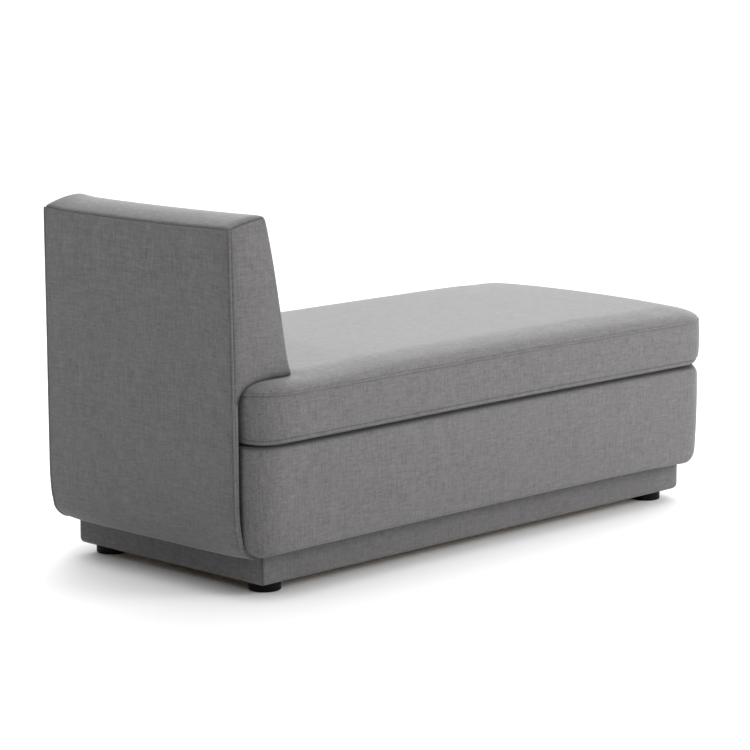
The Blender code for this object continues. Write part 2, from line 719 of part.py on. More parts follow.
def make_back_panel(parts, bolt_cutter, timber):
    """Plywood slab from the base's underside to the top rail, its lower edge and corners rounded."""
    sections = []
    layer = LAYER + CLEAR
    lean = lean_at(BACK_FRAME_TOP)
    for station, _ in back_stations():
        place = clip_place(station, BACK_EDGE + 2 * CLEAR)
        path = lip_points(corner_rise(place, layer), layer)
        path += [(layer - lean, BACK_FRAME_TOP), (BACK_SLAB - lean, BACK_FRAME_TOP)]
        sections.append([back_point(place, depth, height) for depth, height in path])
    sections = sections[1:-1]
    panel = loft("back_panel", sections, closed_strip(len(sections[0])), (True, True), timber, parts)
    cut_with(panel, bolt_cutter)


def make_back_frame(parts, timber, webbing):
    """Wedge uprights, rails between them and webbing across their front edges."""
    inset = LAYER + BACK_FRONT_FOAM + CLEAR + STRAP + CLEAR
    foot = WEDGE_UNDERSIDE + CLEAR
    rear_gap = BACK_SLAB + CLEAR
    outer = BACK_WIDTH / 2 - LAYER - SIDE_PAD - CLEAR
    outline = [
        (rear_gap - lean_at(foot), foot), (rear_gap - lean_at(BACK_FRAME_TOP), BACK_FRAME_TOP),
        (front_depth(BACK_FRAME_TOP) - inset, BACK_FRAME_TOP), (front_depth(foot) - inset, foot),
    ]
    for side, sign in SIDES:
        places = sorted((sign * outer, sign * (outer - BOARD)))
        add_across(f"back_{side}_upright", outline, places[0], places[1], timber, parts)
    inner = outer - BOARD - CLEAR
    top = [outline[1], outline[2], (front_depth(BACK_FRAME_TOP - BOARD) - inset, BACK_FRAME_TOP - BOARD),
           (rear_gap - lean_at(BACK_FRAME_TOP - BOARD), BACK_FRAME_TOP - BOARD)]
    add_across("back_top_rail", top, -inner, inner, timber, parts)
    low_top = foot + BACK_RAIL
    bottom = [(front_depth(foot) - inset - BOARD, foot), (front_depth(foot) - inset, foot),
              (front_depth(low_top) - inset, low_top), (front_depth(low_top) - inset - BOARD, low_top)]
    add_across("back_bottom_rail", bottom, -inner, inner, timber, parts)
    usable = BACK_FRAME_TOP - foot - BACK_RAIL
    for index in range(BACK_STRAP_COUNT):
        middle = foot + BACK_RAIL + usable * (index + 0.5) / BACK_STRAP_COUNT
        section = []
        for height, lift in ((-1, CLEAR), (1, CLEAR), (1, CLEAR + STRAP), (-1, CLEAR + STRAP)):
            place = middle + height * BACK_STRAP_WIDTH / 2
            section.append((front_depth(place) - inset + lift, place))
        add_across(f"back_strap_{index + 1}", section, -outer, outer, webbing, parts)
    return outline, outer


def make_back_foam(parts, outline, outer, foam):
    foot = WEDGE_UNDERSIDE + CLEAR
    half = BACK_WIDTH / 2 - LAYER - BACK_EDGE
    layer = LAYER + CLEAR
    front = [(front_depth(foot) - layer, foot), (front_depth(BACK_FRAME_TOP) - layer, BACK_FRAME_TOP),
             (front_depth(BACK_FRAME_TOP) - layer - BACK_FRONT_FOAM + CLEAR, BACK_FRAME_TOP),
             (front_depth(foot) - layer - BACK_FRONT_FOAM + CLEAR, foot)]
    add_across("back_front_foam", front, -half, half, foam, parts)
    lid = BACK_FRAME_TOP + CLEAR
    sections = []
    for place in [clip_place(station, LAYER + BACK_EDGE) for station, _ in back_stations()[1:-1]]:
        arch = inset_path(crown_points(crown_at(place), 2 * EDGE_STEPS), layer)
        rear = (layer - lean_at(lid), lid)
        near = (front_depth(lid) - layer, lid)
        arch[0] = (layer - BACK_LEAN, arch[0][1])
        arch[-1] = (front_depth(arch[-1][1]) - layer, arch[-1][1])
        sections.append([back_point(place, depth, height) for depth, height in [rear] + arch + [near]])
    loft("back_top_foam", sections, closed_strip(len(sections[0])), (True, True), foam, parts)
    for side, sign in SIDES:
        places = sorted((sign * (outer + CLEAR), sign * half))
        add_across(f"back_{side}_foam", outline, places[0], places[1], foam, parts)


def make_bolts(parts, cutters, steel):
    """Bolts from inside the base through its rear board into the back panel. Returns their holes' cutter."""
    inner_face = BASE_REAR - WRAP - BOARD
    tip = BASE_REAR + CLEAR + BOLT_IN_PANEL
    holes = bmesh.new()
    number = 0
    for height in BOLT_HEIGHTS:
        for side, sign in SIDES:
            number += 1
            turn = [(0.0, tip - inner_face - CLEAR), (BOLT_RADIUS, tip - inner_face - CLEAR),
                    (BOLT_RADIUS, -CLEAR), (BOLT_HEAD_RADIUS, -CLEAR),
                    (BOLT_HEAD_RADIUS, -CLEAR - BOLT_HEAD), (0.0, -CLEAR - BOLT_HEAD)]
            place = (sign * BOLT_SPREAD, inner_face, height)
            bolt = add_turned(f"back_bolt_{number}", turn, HOLE_STEPS, place, steel, parts)
            bolt.rotation_euler = (-pi / 2, 0.0, 0.0)
            bore = BOLT_RADIUS + CLEAR
            added = bmesh.ops.create_cone(holes, cap_ends=True, segments=HOLE_STEPS, radius1=bore,
                                          radius2=bore, depth=1.0)
            bmesh.ops.scale(holes, vec=(1, 1, tip - inner_face + BOARD), verts=added["verts"])
            bmesh.ops.rotate(holes, verts=added["verts"], cent=(0, 0, 0),
                             matrix=bolt.rotation_euler.to_matrix())
            bmesh.ops.translate(holes, verts=added["verts"],
                                vec=(sign * BOLT_SPREAD, (tip + inner_face - BOARD) / 2, height))
    cutter = add_object("bolt_holes", holes, steel, cutters)
    hide_cutter(cutter)
    return cutter


def main():
    clear_scene()
    parts = new_collection("chaise_seat")
    cutters = new_collection("cutters")
    grey_cloth = finish("grey_cloth", (0.235, 0.228, 0.232), 0.95)
    foam = finish("foam", (0.82, 0.78, 0.66), 0.9)
    timber = finish("plywood", (0.62, 0.47, 0.30), 0.7)
    webbing = finish("webbing", (0.05, 0.05, 0.05), 0.8)
    deck_cloth = finish("deck_cloth", (0.03, 0.03, 0.03), 0.9)
    plastic = finish("black_plastic", (0.012, 0.012, 0.012), 0.45)
    steel = finish("zinc_steel", (0.60, 0.60, 0.62), 0.35, 1.0)
    stud_cutter = make_feet(parts, cutters, plastic, steel)
    make_plinth(parts, stud_cutter, timber, grey_cloth)
    bolt_cutter = make_bolts(parts, cutters, steel)
    make_base_frame(parts, bolt_cutter, timber)
    make_base_pads(parts, bolt_cutter, foam)
    make_base_cover(parts, bolt_cutter, grey_cloth)
    make_deck(parts, webbing, deck_cloth)
    make_seat(parts, foam, grey_cloth)
    make_back_cover(parts, grey_cloth)
    make_back_panel(parts, bolt_cutter, timber)
    outline, outer = make_back_frame(parts, timber, webbing)
    make_back_foam(parts, outline, outer, foam)


main()
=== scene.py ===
import json
import math

import bmesh
import bpy
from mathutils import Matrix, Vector
from mathutils.kdtree import KDTree

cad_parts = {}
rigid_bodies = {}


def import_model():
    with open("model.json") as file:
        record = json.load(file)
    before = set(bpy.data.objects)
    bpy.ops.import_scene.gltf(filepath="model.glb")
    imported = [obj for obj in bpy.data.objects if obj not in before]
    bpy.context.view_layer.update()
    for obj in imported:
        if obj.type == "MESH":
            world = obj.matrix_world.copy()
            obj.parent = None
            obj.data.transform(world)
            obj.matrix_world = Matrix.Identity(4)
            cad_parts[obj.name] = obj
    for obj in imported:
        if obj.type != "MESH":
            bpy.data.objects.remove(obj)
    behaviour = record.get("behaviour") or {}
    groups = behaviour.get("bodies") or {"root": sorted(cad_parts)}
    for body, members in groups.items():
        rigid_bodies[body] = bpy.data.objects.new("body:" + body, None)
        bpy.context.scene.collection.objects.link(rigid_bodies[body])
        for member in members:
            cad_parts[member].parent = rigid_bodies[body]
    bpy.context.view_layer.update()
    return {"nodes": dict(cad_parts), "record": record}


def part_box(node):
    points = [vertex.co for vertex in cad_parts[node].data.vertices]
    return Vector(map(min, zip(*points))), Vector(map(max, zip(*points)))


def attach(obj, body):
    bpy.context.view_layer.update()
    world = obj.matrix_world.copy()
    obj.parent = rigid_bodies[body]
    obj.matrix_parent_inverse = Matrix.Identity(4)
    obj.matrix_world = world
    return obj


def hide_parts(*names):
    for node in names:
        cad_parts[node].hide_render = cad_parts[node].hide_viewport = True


for leftover in list(bpy.data.objects):
    bpy.data.objects.remove(leftover)
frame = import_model()

# Camera, fitted to the photograph's edges for a square picture.
CAMERA_PLACE = (-4.53465, 4.65125, 1.48005)
CAMERA_AIM = (0.6899, -0.7026, -0.1742)
CAMERA_LENS = 146.25

# Plans of the boxed pieces in metres: half width, half length, middle along Y, rear and front corner radius.
SEAT_PLAN = (0.338, 0.69985, -0.0119, 0.086, 0.086)
BASE_PLAN = (0.335, 0.700, -0.00875, 0.066, 0.079)
PLINTH_PLAN = (0.2805, 0.656375, -0.020625, 0.010, 0.028)
SMALLEST_CORNER = 0.004
# Spans of the cut cubes along X and Y.
SEAT_CUTS = (48, 92)
BASE_CUTS = (40, 76)
PLINTH_CUTS = (34, 60)

# Lines that cross a rounded corner, as shares of its radius from the edge inwards.
CORNER_LINES = (0.0, 0.04, 0.09, 0.155, 0.24, 0.345, 0.475, 0.63, 0.80)

# Rows up the seat's boxing, as outset and height, from its under edge to the piped seam.
SEAT_ROWS = (
    (-0.0115, 0.3142), (-0.0072, 0.3146), (-0.0040, 0.3158), (-0.0019, 0.3178), (-0.0007, 0.3203),
    (-0.0003, 0.3230), (-0.0018, 0.3250), (0.0000, 0.3274), (0.0006, 0.3320), (0.0012, 0.3400),
    (0.0017, 0.3520), (0.0020, 0.3660), (0.0020, 0.3780), (0.0017, 0.3890), (0.0011, 0.3990),
    (0.0006, 0.4050), (0.0003, 0.4085), (-0.0004, 0.4104), (-0.0032, 0.4120),
)
SEAT_LOW_SEAM = 6
# How far each of the lowest rows sinks at the rear corners.
SEAT_CORNER_DROP = (0.0018, 0.0019, 0.0022, 0.0028, 0.0035, 0.0042, 0.0045, 0.0042, 0.0030, 0.0015)
# Rings over the seat's shoulder, as inset and height, from the seam inwards.
SEAT_SHOULDER = (
    (0.0032, 0.4120), (0.0005, 0.4141), (0.0022, 0.4182), (0.0063, 0.4230), (0.0128, 0.4273),
    (0.0226, 0.4311), (0.0364, 0.4342), (0.0545, 0.4367), (0.0740, 0.4385),
)
SEAT_UNDER = 0.3142
# The front corners draw in at their foot, up to this height above the underside.
SEAT_FRONT_EASE = 0.010
SEAT_FRONT_EASE_HEIGHT = 0.018
SEAT_FRONT_EASE_POWER = 1.6
# Share by which the rear corners' lowest rows lose their outset.
SEAT_REAR_TUCK = 0.85
# Painted shade on the lowest rows in the gap over the base, in the grooves of the two seams, and where the
# seams cross a corner.
SEAT_UNDER_SHADE = (1.0, 0.9, 0.55, 0.2)
SEAT_TOP_SEAM_SHADE = 0.6
SEAT_LOW_SEAM_SHADE = 0.5
SEAT_CORNER_SEAM_SHADE = 0.8
SEAT_CORNER_SEAM_DEPTH = 0.0008
# Crown of the flat inside, then lift of the whole top and what its corners lose, up to the back.
SEAT_CROWN = 0.0008
SEAT_CROWN_RUN = 0.06
SEAT_LIFT = 0.0055
SEAT_CORNER_EASE = 0.0115
SEAT_LIFT_HEIGHT = 0.021
SEAT_LIFT_END = 0.52
SEAT_LIFT_FADE = 0.2
SEAT_WAIST = 0.005
# Height of the top under the back, and how far round the back it is pressed down.
SEAT_PRESSED = 0.4340
PRESSED_MARGIN = 0.002
PRESSED_FADE = 0.016
SHOULDER_START = 0.42

BASE_UNDER = 0.0940
BASE_TOP = 0.3112
# Lower edge radius along the sides and at the rear and front ends, and what the front corners add.
BASE_SIDE_EDGE = 0.012
BASE_REAR_EDGE = 0.030
BASE_FRONT_EDGE = 0.026
BASE_CORNER_EDGE = 0.008
BASE_UPPER_EDGE = 0.012
BASE_REAR_DROP = 0.0012
BASE_FRONT_DROP = 0.0075
BASE_CORNER_DROP = 0.0055
BASE_DRAFT = 0.0025
BASE_BULGE = 0.0016
BASE_WAIST = 0.004
BASE_SIDE_SHARES = (0.04, 0.1, 0.18, 0.27, 0.36, 0.45, 0.54, 0.63, 0.72, 0.81, 0.89, 0.955)
# Painted shade on the top rows, counted down from the top, where the seat's overhang shades the base's upper
# edge; painted shade in dark notches at the corners on these rows.
BASE_TOP_SHADE = (1.0, 1.0, 0.9, 0.65, 0.3, 0.1, 0.03)
BASE_NOTCH_ROWS = (5, 6)
BASE_NOTCH_SHADE = 0.75
# The underside drops towards the ends from this share of the half length on.
BASE_DROP_REACH = 0.94
BASE_DROP_POWER = 6
# Rings of the turned-in cloth over and under that are kept, and its thickness.
BASE_TURNED_RINGS = 5
BASE_CLOTH = 0.0016

PLINTH_UNDER = 0.0198
PLINTH_TOP = 0.1005
PLINTH_EDGE = 0.012
PLINTH_SIDE_ROWS = 6
# The cloth turns in under the plinth by this step for each of the kept rings.
PLINTH_TURN_IN = 0.0006
PLINTH_TURNED_RINGS = 4
PLINTH_CLOTH = 0.0014
# Painted shade line down the rear corners' seam: its strength, where the corner share starts it, and its first
# row.
PLINTH_SEAM_SHADE = 0.5
PLINTH_SEAM_START = 0.75
PLINTH_SEAM_ROW = 3

# The back, as depth in front of the slab's rear face and height.
SLAB_REAR = 0.70705
SLAB_DEPTH = 0.0090
BACK_HALF = 0.2830
BACK_TAPER = 0.0053
BACK_CORNER = 0.016
BACK_TOP_CORNER = 0.006
BACK_SEAM = 0.7368
BACK_SEAM_RISE = 0.0165
BACK_SAG = 0.0035
BACK_HORN = 0.0040
BACK_DIP = 0.0030
BACK_LEAN = 0.0077
BACK_CROWN = 0.0088
BACK_CROWN_RUN = 0.018
BACK_SIDE_LINES = (0.0, 0.0034, 0.0062, 0.0105, 0.0160, 0.0220)
BACK_EDGE_WIDTH = 0.028
BACK_SPANS = 24
# The far end of the top rises again from this share of the half width on.
BACK_HORN_START = 0.82
# Depth beyond the slab's at which the wedge counts as fully thick.
BACK_THICK_RUN = 0.06
BACK_CLIMB = 0.4
# The slab's lower edge curls forwards under the base's rounded rear edge: centre, rear and front radius, turns.
LIP_CENTRE = (0.0498, 0.1245)
LIP_RADII = (0.0420, 0.0330)
LIP_DROP = 0.0055
LIP_DROP_START = 45
LIP_DROP_TURN = 35
LIP_CORNER_LIFT = 0.0070
LIP_CORNER_RUN = 0.07
LIP_TURNS = (94, 89, 83, 75, 62, 49, 36, 24, 12, 0)
# Rear and front depth, and height, of the rows between the curl and the upright slab.
LIP_RISE = ((0.0046, 0.0140, 0.1345), (0.0030, 0.0121, 0.1475), (0.0014, 0.0104, 0.1640), (0.0, 0.0090, 0.1850))
SLAB_HEIGHTS = (
    0.200, 0.215, 0.230, 0.245, 0.265, 0.285, 0.305, 0.325, 0.345, 0.365, 0.380, 0.392,
)
# Front points of the rows round the mouth, where the wedge's underside turns down behind the seat.
MOUTH_HEIGHTS = (0.4000, 0.4075, 0.4145, 0.4205, 0.4255, 0.4300, 0.4340, 0.4375)
MOUTH_CURVE = (
    (0.0096, 0.3965), (0.0122, 0.4060), (0.0178, 0.4145), (0.0278, 0.4220),
    (0.0420, 0.4275), (0.0630, 0.4312), (0.0950, 0.4332), (0.1300, 0.4338),
)
# How softly the side turns under at the mouth: depth and radius.
MOUTH_EASE = ((0.0090, 0.0035), (0.030, 0.0075), (0.060, 0.0085), (0.115, 0.0065), (0.152, 0.0030))
WEDGE_HEIGHTS = (
    0.4415, 0.4455, 0.452, 0.462, 0.479, 0.494, 0.511, 0.530, 0.550, 0.570, 0.590, 0.610, 0.630,
    0.650, 0.668, 0.685, 0.700, 0.713, 0.723, 0.7290, 0.7328, 0.7349, 0.7368,
)
WEDGE_FRONT = (
    (0.4344, 0.1575), (0.457, 0.1490), (0.480, 0.1435), (0.503, 0.1393), (0.548, 0.1320), (0.588, 0.1247),
    (0.628, 0.1175), (0.664, 0.1105), (0.698, 0.1030), (0.728, 0.0960), (0.745, 0.0912), (0.755, 0.0890),
)
WEDGE_FOOT = 0.4344
# Lines from the rear to the front, as shares of the depth of the wedge and of the thin slab.
DEPTH_SHARES = (0.0, 0.034, 0.062, 0.11, 0.20, 0.34, 0.5, 0.66, 0.80, 0.89, 0.94, 0.974, 1.0)
THIN_SHARES = (0.0, 0.26, 0.36, 0.44, 0.51, 0.57, 0.63, 0.69, 0.75, 0.81, 0.87, 0.93, 1.0)
REAR_SEAM_DEPTH = 0.0022
FRONT_SEAM_DEPTH = 0.0014
TOP_SEAM_DEPTH = 0.0012
# Painted shade in the top seam's groove, and painted shade fading away from the upright seams, line by line.
TOP_SEAM_SHADE = 0.7
SEAM_FADE = (1.0, 0.32, 0.12, 0.08, 0.05, 0.03)
# Painted shade on the sides by distance from the edge that rests on the seat, where the crease lies in shade.
CONTACT_FADE = ((0.0, 1.0), (0.0040, 1.0), (0.0065, 0.5), (0.0120, 0.18), (0.0240, 0.0))
SLAB_CONTACT = 3.0
# Painted shade in the slit between the slab and what it covers: reach from the rear, past the slab's side, and
# fade.
SLIT_REACH = 0.012
SLIT_PAST_BASE = 0.001
SLIT_PAST_SEAT = -0.004
SLIT_FADE = 0.006
# How far the rear and the sides of the back puff out between their seams, and over what distance.
REAR_PUFF = 0.0040
REAR_PUFF_RUN = 0.022
SIDE_PUFF = 0.0050
SIDE_PUFF_RUN = 0.013

# Cloth simulation: frames, and for each cover its pressure, largest swelling and remesh size.
CLOTH_FRAMES = 20
SEAT_SWELL = (4.0, 0.002, 0.009)
BACK_SWELL = (3.0, 0.003, 0.007)
SWELL_NEIGHBOURS = 16
SWELL_FACING = 0.2
SWELL_NEAR = 0.003
# Parts of the covers that hold still while they swell.
SEAT_HELD_BELOW = 0.3285
SEAT_HELD_SEAM = 0.004
BACK_HELD_SEAM = 0.009
BACK_HELD_BELOW = 0.40
BACK_HELD_REAR = 0.004

# Piped welts: radius of the section and lift out of the seam.
SEAT_WELT = (0.0021, 0.0016)
BACK_WELT = (0.0022, 0.0016)

# Feet.
FOOT_SIDES = 64
FOOT_GLIDE_RIM = 0.006
FOOT_GLIDE_STEP = 0.0012
FOOT_GLIDE_MIDDLE = 0.010
FOOT_BEVEL = 0.0025
FOOT_SMOOTH_ANGLE = 35
SAME_PLACE = 0.0001

# Cloth colours, then the dark colour of painted shade and how strongly it is mixed in.
CLOTH_DARK = (0.098, 0.095, 0.0967)
CLOTH_MIDDLE = (0.1675, 0.1627, 0.1648)
CLOTH_LIGHT = (0.245, 0.2385, 0.2412)
PAINTED_SHADE_COLOUR = (0.018, 0.0175, 0.018)
PAINTED_SHADE_STRENGTH = 0.85

# Stage: floor as seen and as it lights the seat, softbox, and patches as direction, sharpness and strength.
FLOOR_SEEN = (0.98, 0.98, 0.98)
FLOOR_BOUNCE = (0.72, 0.72, 0.72)
FLOOR_SIZE = 40.0
SOFTBOX = 59.7
SOFTBOX_PLACE = (-3.0, -1.3, 1.5)
SOFTBOX_TARGET = (0, -0.3, 0.25)
SOFTBOX_SIZE = (1.8, 1.4)
STUDIO_PATCHES = (
    ((0, 0, 1), 20, 1.75),
    ((0, 0.5, 0.85), 8, 1.58),
    ((-0.5, 0, 0.85), 8, 1.55),
    ((0, -1, 0.36), 6, 0.46),
    ((0.7, -0.7, 0.36), 6, 7.7),
)


def only(piece):
    """Leave one object selected and active."""
    bpy.ops.object.select_all(action="DESELECT")
    piece.select_set(True)
    bpy.context.view_layer.objects.active = piece


def edit(piece):
    only(piece)
    bpy.ops.object.mode_set(mode="EDIT")
    bpy.ops.mesh.select_all(action="DESELECT")
    return bmesh.from_edit_mesh(piece.data)


def leave_edit():
    bpy.ops.object.mode_set(mode="OBJECT")


def apply_all(piece):
    only(piece)
    for modifier in list(piece.modifiers):
        bpy.ops.object.modifier_apply(modifier=modifier.name)


def cut_cube(name, cuts):
    """A cube from -1 to 1 cut into an even grid, with that many spans along X, Y and Z."""
    bpy.ops.object.select_all(action="DESELECT")
    bpy.ops.mesh.primitive_cube_add(size=2.0, location=(0, 0, 0))
    piece = bpy.context.active_object
    piece.name = piece.data.name = name
    for axis, spans in enumerate(cuts):
        cage = edit(piece)
        bpy.ops.mesh.select_mode(type="EDGE")
        for edge in cage.edges:
            run = edge.verts[1].co - edge.verts[0].co
            edge.select_set(abs(run[axis]) > 0.999 * run.length)
        bmesh.update_edit_mesh(piece.data)
        bpy.ops.mesh.subdivide(number_cuts=spans - 1)
        leave_edit()
    return piece


def grid_steps(piece, cuts):
    """Which line of the cut cube each vertex lies on, along X, Y and Z."""
    places = [vertex.co for vertex in piece.data.vertices]
    return [tuple(round((place[axis] + 1) / 2 * cuts[axis]) for axis in range(3)) for place in places]


def line_place(step, steps, reach):
    """Side, share of the corner radius, and place of the corner's centre for one line of a plan."""
    crossing = len(CORNER_LINES)
    if step < crossing:
        return -1, 1 - CORNER_LINES[step], -reach
    if step > steps - crossing:
        return 1, 1 - CORNER_LINES[steps - step], reach
    return 0, 0.0, -reach + 2 * reach * (step - crossing) / (steps - 2 * crossing)


def corner_turn(across, along):
    """Reach and angle of a grid crossing in a rounded corner, from its two shares of the radius."""
    if across >= along:
        return across, math.pi / 4 * along / across
    return along, math.pi / 2 - math.pi / 4 * across / along


def corner_share(step, cuts):
    """1 half way round a corner of a plan, and 0 along its straight sides."""
    across, along = line_place(step[0], cuts[0], 0.0)[1], line_place(step[1], cuts[1], 0.0)[1]
    if min(across, along) <= 0:
        return 0.0
    return math.sin(2 * corner_turn(across, along)[1]) ** 2


def end_share(step, cuts):
    """0 along the sides of a plan, 1 along its ends, and between them round the corners."""
    across, along = line_place(step[0], cuts[0], 0.0)[1], line_place(step[1], cuts[1], 0.0)[1]
    return corner_turn(across, along)[1] / (math.pi / 2) if across + along > 0 else 0.0


def plan_place(step, cuts, plan, inset, inner=False):
    """Place of a grid crossing on a rounded plan: on the outline less an inset, or in the flat inside."""
    half_x, half_y, middle, rear_corner, front_corner = plan
    corner = rear_corner if step[1] * 2 > cuts[1] else front_corner
    radius = max(corner - inset, min(corner, SMALLEST_CORNER))
    side_x, share_x, centre_x = line_place(step[0], cuts[0], half_x - inset - radius)
    side_y, share_y, centre_y = line_place(step[1], cuts[1], half_y - inset - radius)
    if inner or (share_x == 0 and share_y == 0):
        return Vector((centre_x, middle + centre_y, 0.0))
    turn = corner_turn(share_x, share_y)[1]
    outward = Vector((side_x * math.cos(turn), side_y * math.sin(turn), 0.0))
    return Vector((centre_x, middle + centre_y, 0.0)) + outward * radius


def ring_of(step, cuts):
    """How many lines a vertex lies in from the outline of its plan."""
    return min(step[0], cuts[0] - step[0], step[1], cuts[1] - step[1])


def at_corner(step, cuts):
    """True on the line down the middle of a rounded corner."""
    return min(step[0], cuts[0] - step[0]) == min(step[1], cuts[1] - step[1])


def boxed(name, plan, cuts, rows_at, over, under):
    """Boxed form on a rounded plan: rows (outset, height) up its side, rings (inset, height) over and under.

    The rows may change round the plan. Past the last ring, the flat inside takes that ring's height."""
    cuts = (cuts[0], cuts[1], len(rows_at((0, 0, 0), cuts)) - 1)
    piece = cut_cube(name, cuts)
    steps = grid_steps(piece, cuts)
    for vertex, step in zip(piece.data.vertices, steps):
        ring = ring_of(step, cuts)
        if ring == 0:
            outset, height = rows_at(step, cuts)[step[2]]
            inset = -outset
        else:
            rings = over if step[2] else under
            inset, height = rings[min(ring, len(rings) - 1)]
        flat = ring >= len(CORNER_LINES)
        vertex.co = plan_place(step, cuts, plan, 0.0 if flat else inset, flat)
        vertex.co.z = height
    return piece, steps, cuts


def draw_in(piece, plan, depth):
    """Pull the long sides in between their corners."""
    half_x, half_y, middle, corner = plan[:4]
    for vertex in piece.data.vertices:
        along = (vertex.co.y - middle) / (half_y - corner)
        if abs(along) < 1:
            vertex.co.x -= depth * (1 - along ** 2) ** 2 * vertex.co.x / half_x


def mark(piece, name, chosen):
    """Name a set of vertices, so that a seam can be found again after subdivision."""
    group = piece.vertex_groups.new(name=name)
    group.add(chosen, 1.0, "REPLACE")
    return group


def paint_shade(piece, shares):
    """Give the cloth material a share of painted shade for each vertex, which darkens its colour."""
    shade = piece.data.attributes.new("painted_shade", "FLOAT", "POINT")
    shade.data.foreach_set("value", shares)


def slit_share(place, rear):
    """1 on the faces that the back's slab covers: painted shade, so that the slit beside it stays dark."""
    if place.y < rear - SLIT_REACH or place.z > SHOULDER_START:
        return 0.0
    edge = BACK_HALF + (SLIT_PAST_BASE if place.z < BASE_TOP else SLIT_PAST_SEAT)
    return max(0.0, min(1.0, (edge - abs(place.x)) / SLIT_FADE))


def swell(piece, held, pressure, cap, voxel):
    """Blow the cover up by a cloth simulation on an evenly remeshed copy, and keep its outward moves."""
    only(piece)
    bpy.ops.object.duplicate()
    trial = bpy.context.active_object
    trial.vertex_groups.clear()
    even = trial.modifiers.new("even", "REMESH")
    even.mode = "VOXEL"
    even.voxel_size = voxel
    apply_all(trial)
    rest = [vertex.co.copy() for vertex in trial.data.vertices]
    normals = [vertex.normal.copy() for vertex in trial.data.vertices]
    pins = mark(trial, "pins", [index for index, place in enumerate(rest) if held(place)])
    cover = trial.modifiers.new("cover", "CLOTH")
    cover.settings.quality = 4
    cover.settings.mass = 0.3
    cover.settings.tension_stiffness = 12.0
    cover.settings.compression_stiffness = 12.0
    cover.settings.shear_stiffness = 8.0
    cover.settings.bending_stiffness = 1.0
    cover.settings.use_pressure = True
    cover.settings.uniform_pressure_force = pressure
    cover.settings.vertex_group_mass = pins.name
    cover.settings.effector_weights.gravity = 0.0
    cover.collision_settings.use_collision = False
    for step in range(1, CLOTH_FRAMES + 1):
        bpy.context.scene.frame_set(step)
    apply_all(trial)
    moves = [vertex.co - place for vertex, place in zip(trial.data.vertices, rest)]
    bpy.context.scene.frame_set(1)
    tree = KDTree(len(rest))
    for index, place in enumerate(rest):
        tree.insert(place, index)
    tree.balance()
    facing = [vertex.normal.copy() for vertex in piece.data.vertices]
    for vertex, outward in zip(piece.data.vertices, facing):
        total, weight = Vector(), 0.0
        for place, index, distance in tree.find_n(vertex.co, SWELL_NEIGHBOURS):
            if normals[index].dot(outward) < SWELL_FACING:
                continue
            share = 1 / (distance + SWELL_NEAR)
            total += moves[index] * share
            weight += share
        if weight:
            swollen = max(0.0, (total / weight).dot(outward))
            vertex.co += outward * cap * (1 - math.exp(-swollen / cap))
    bpy.data.objects.remove(trial)


def subdivide(piece):
    smooth = piece.modifiers.new("subdivision", "SUBSURF")
    smooth.levels = smooth.render_levels = 1
    apply_all(piece)
    only(piece)
    bpy.ops.object.shade_smooth()


def thicken(piece, thickness):
    wall = piece.modifiers.new("thickness", "SOLIDIFY")
    wall.thickness = thickness
    wall.offset = -1.0
    apply_all(piece)


def delete_faces(piece, unwanted):
    cage = edit(piece)
    bpy.ops.mesh.select_mode(type="FACE")
    for face in cage.faces:
        face.select_set(unwanted(face))
    bmesh.update_edit_mesh(piece.data)
    bpy.ops.mesh.delete(type="FACE")
    leave_edit()


def open_ends(piece, steps, cuts, over_rings, under_rings):
    """Open the top and the underside inside the given number of rings."""
    rings = [ring_of(step, cuts) for step in steps]

    def inside(face):
        corners = [vertex.index for vertex in face.verts]
        over = all(steps[corner][2] == cuts[2] and rings[corner] >= over_rings for corner in corners)
        under = all(steps[corner][2] == 0 and rings[corner] >= under_rings for corner in corners)
        return over or under

    delete_faces(piece, inside)


def sew_welt(piece, group_name, name, radius, lift):
    """Piped welt: the seam's own edges are copied out of the cover, lifted, and given a round section."""
    group = piece.vertex_groups[group_name].index
    cage = edit(piece)
    bpy.ops.mesh.select_mode(type="EDGE")
    weights = cage.verts.layers.deform.verify()
    cage.normal_update()
    for edge in cage.edges:
        edge.select_set(all(vertex[weights].get(group, 0.0) > 0.99 for vertex in edge.verts))
    outward = {tuple(vertex.co): vertex.normal.copy() for vertex in cage.verts if vertex.select}
    bmesh.update_edit_mesh(piece.data)
    bpy.ops.mesh.duplicate()
    bpy.ops.mesh.separate(type="SELECTED")
    leave_edit()
    welt = [item for item in bpy.context.selected_objects if item is not piece][0]
    for vertex in welt.data.vertices:
        vertex.co += outward[tuple(vertex.co)] * lift
    only(welt)
    bpy.ops.object.convert(target="CURVE")
    welt = bpy.context.active_object
    welt.data.bevel_depth = radius
    welt.data.bevel_resolution = 2
    welt.data.use_fill_caps = True
    bpy.ops.object.convert(target="MESH")
    welt = bpy.context.active_object
    welt.name = welt.data.name = name
    bpy.ops.object.shade_smooth()
    return welt


def dress(piece, material):
    """Material, slot and body for a finished piece."""
    piece.data.materials.clear()
    piece.data.materials.append(material)
    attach(piece, "root")


# Materials


def new_material(name):
    material = bpy.data.materials.new(name)
    material.use_nodes = True
    nodes = material.node_tree.nodes
    nodes.clear()
    output = nodes.new("ShaderNodeOutputMaterial")
    shader = nodes.new("ShaderNodeBsdfPrincipled")
    material.node_tree.links.new(shader.outputs[0], output.inputs["Surface"])
    return material, shader


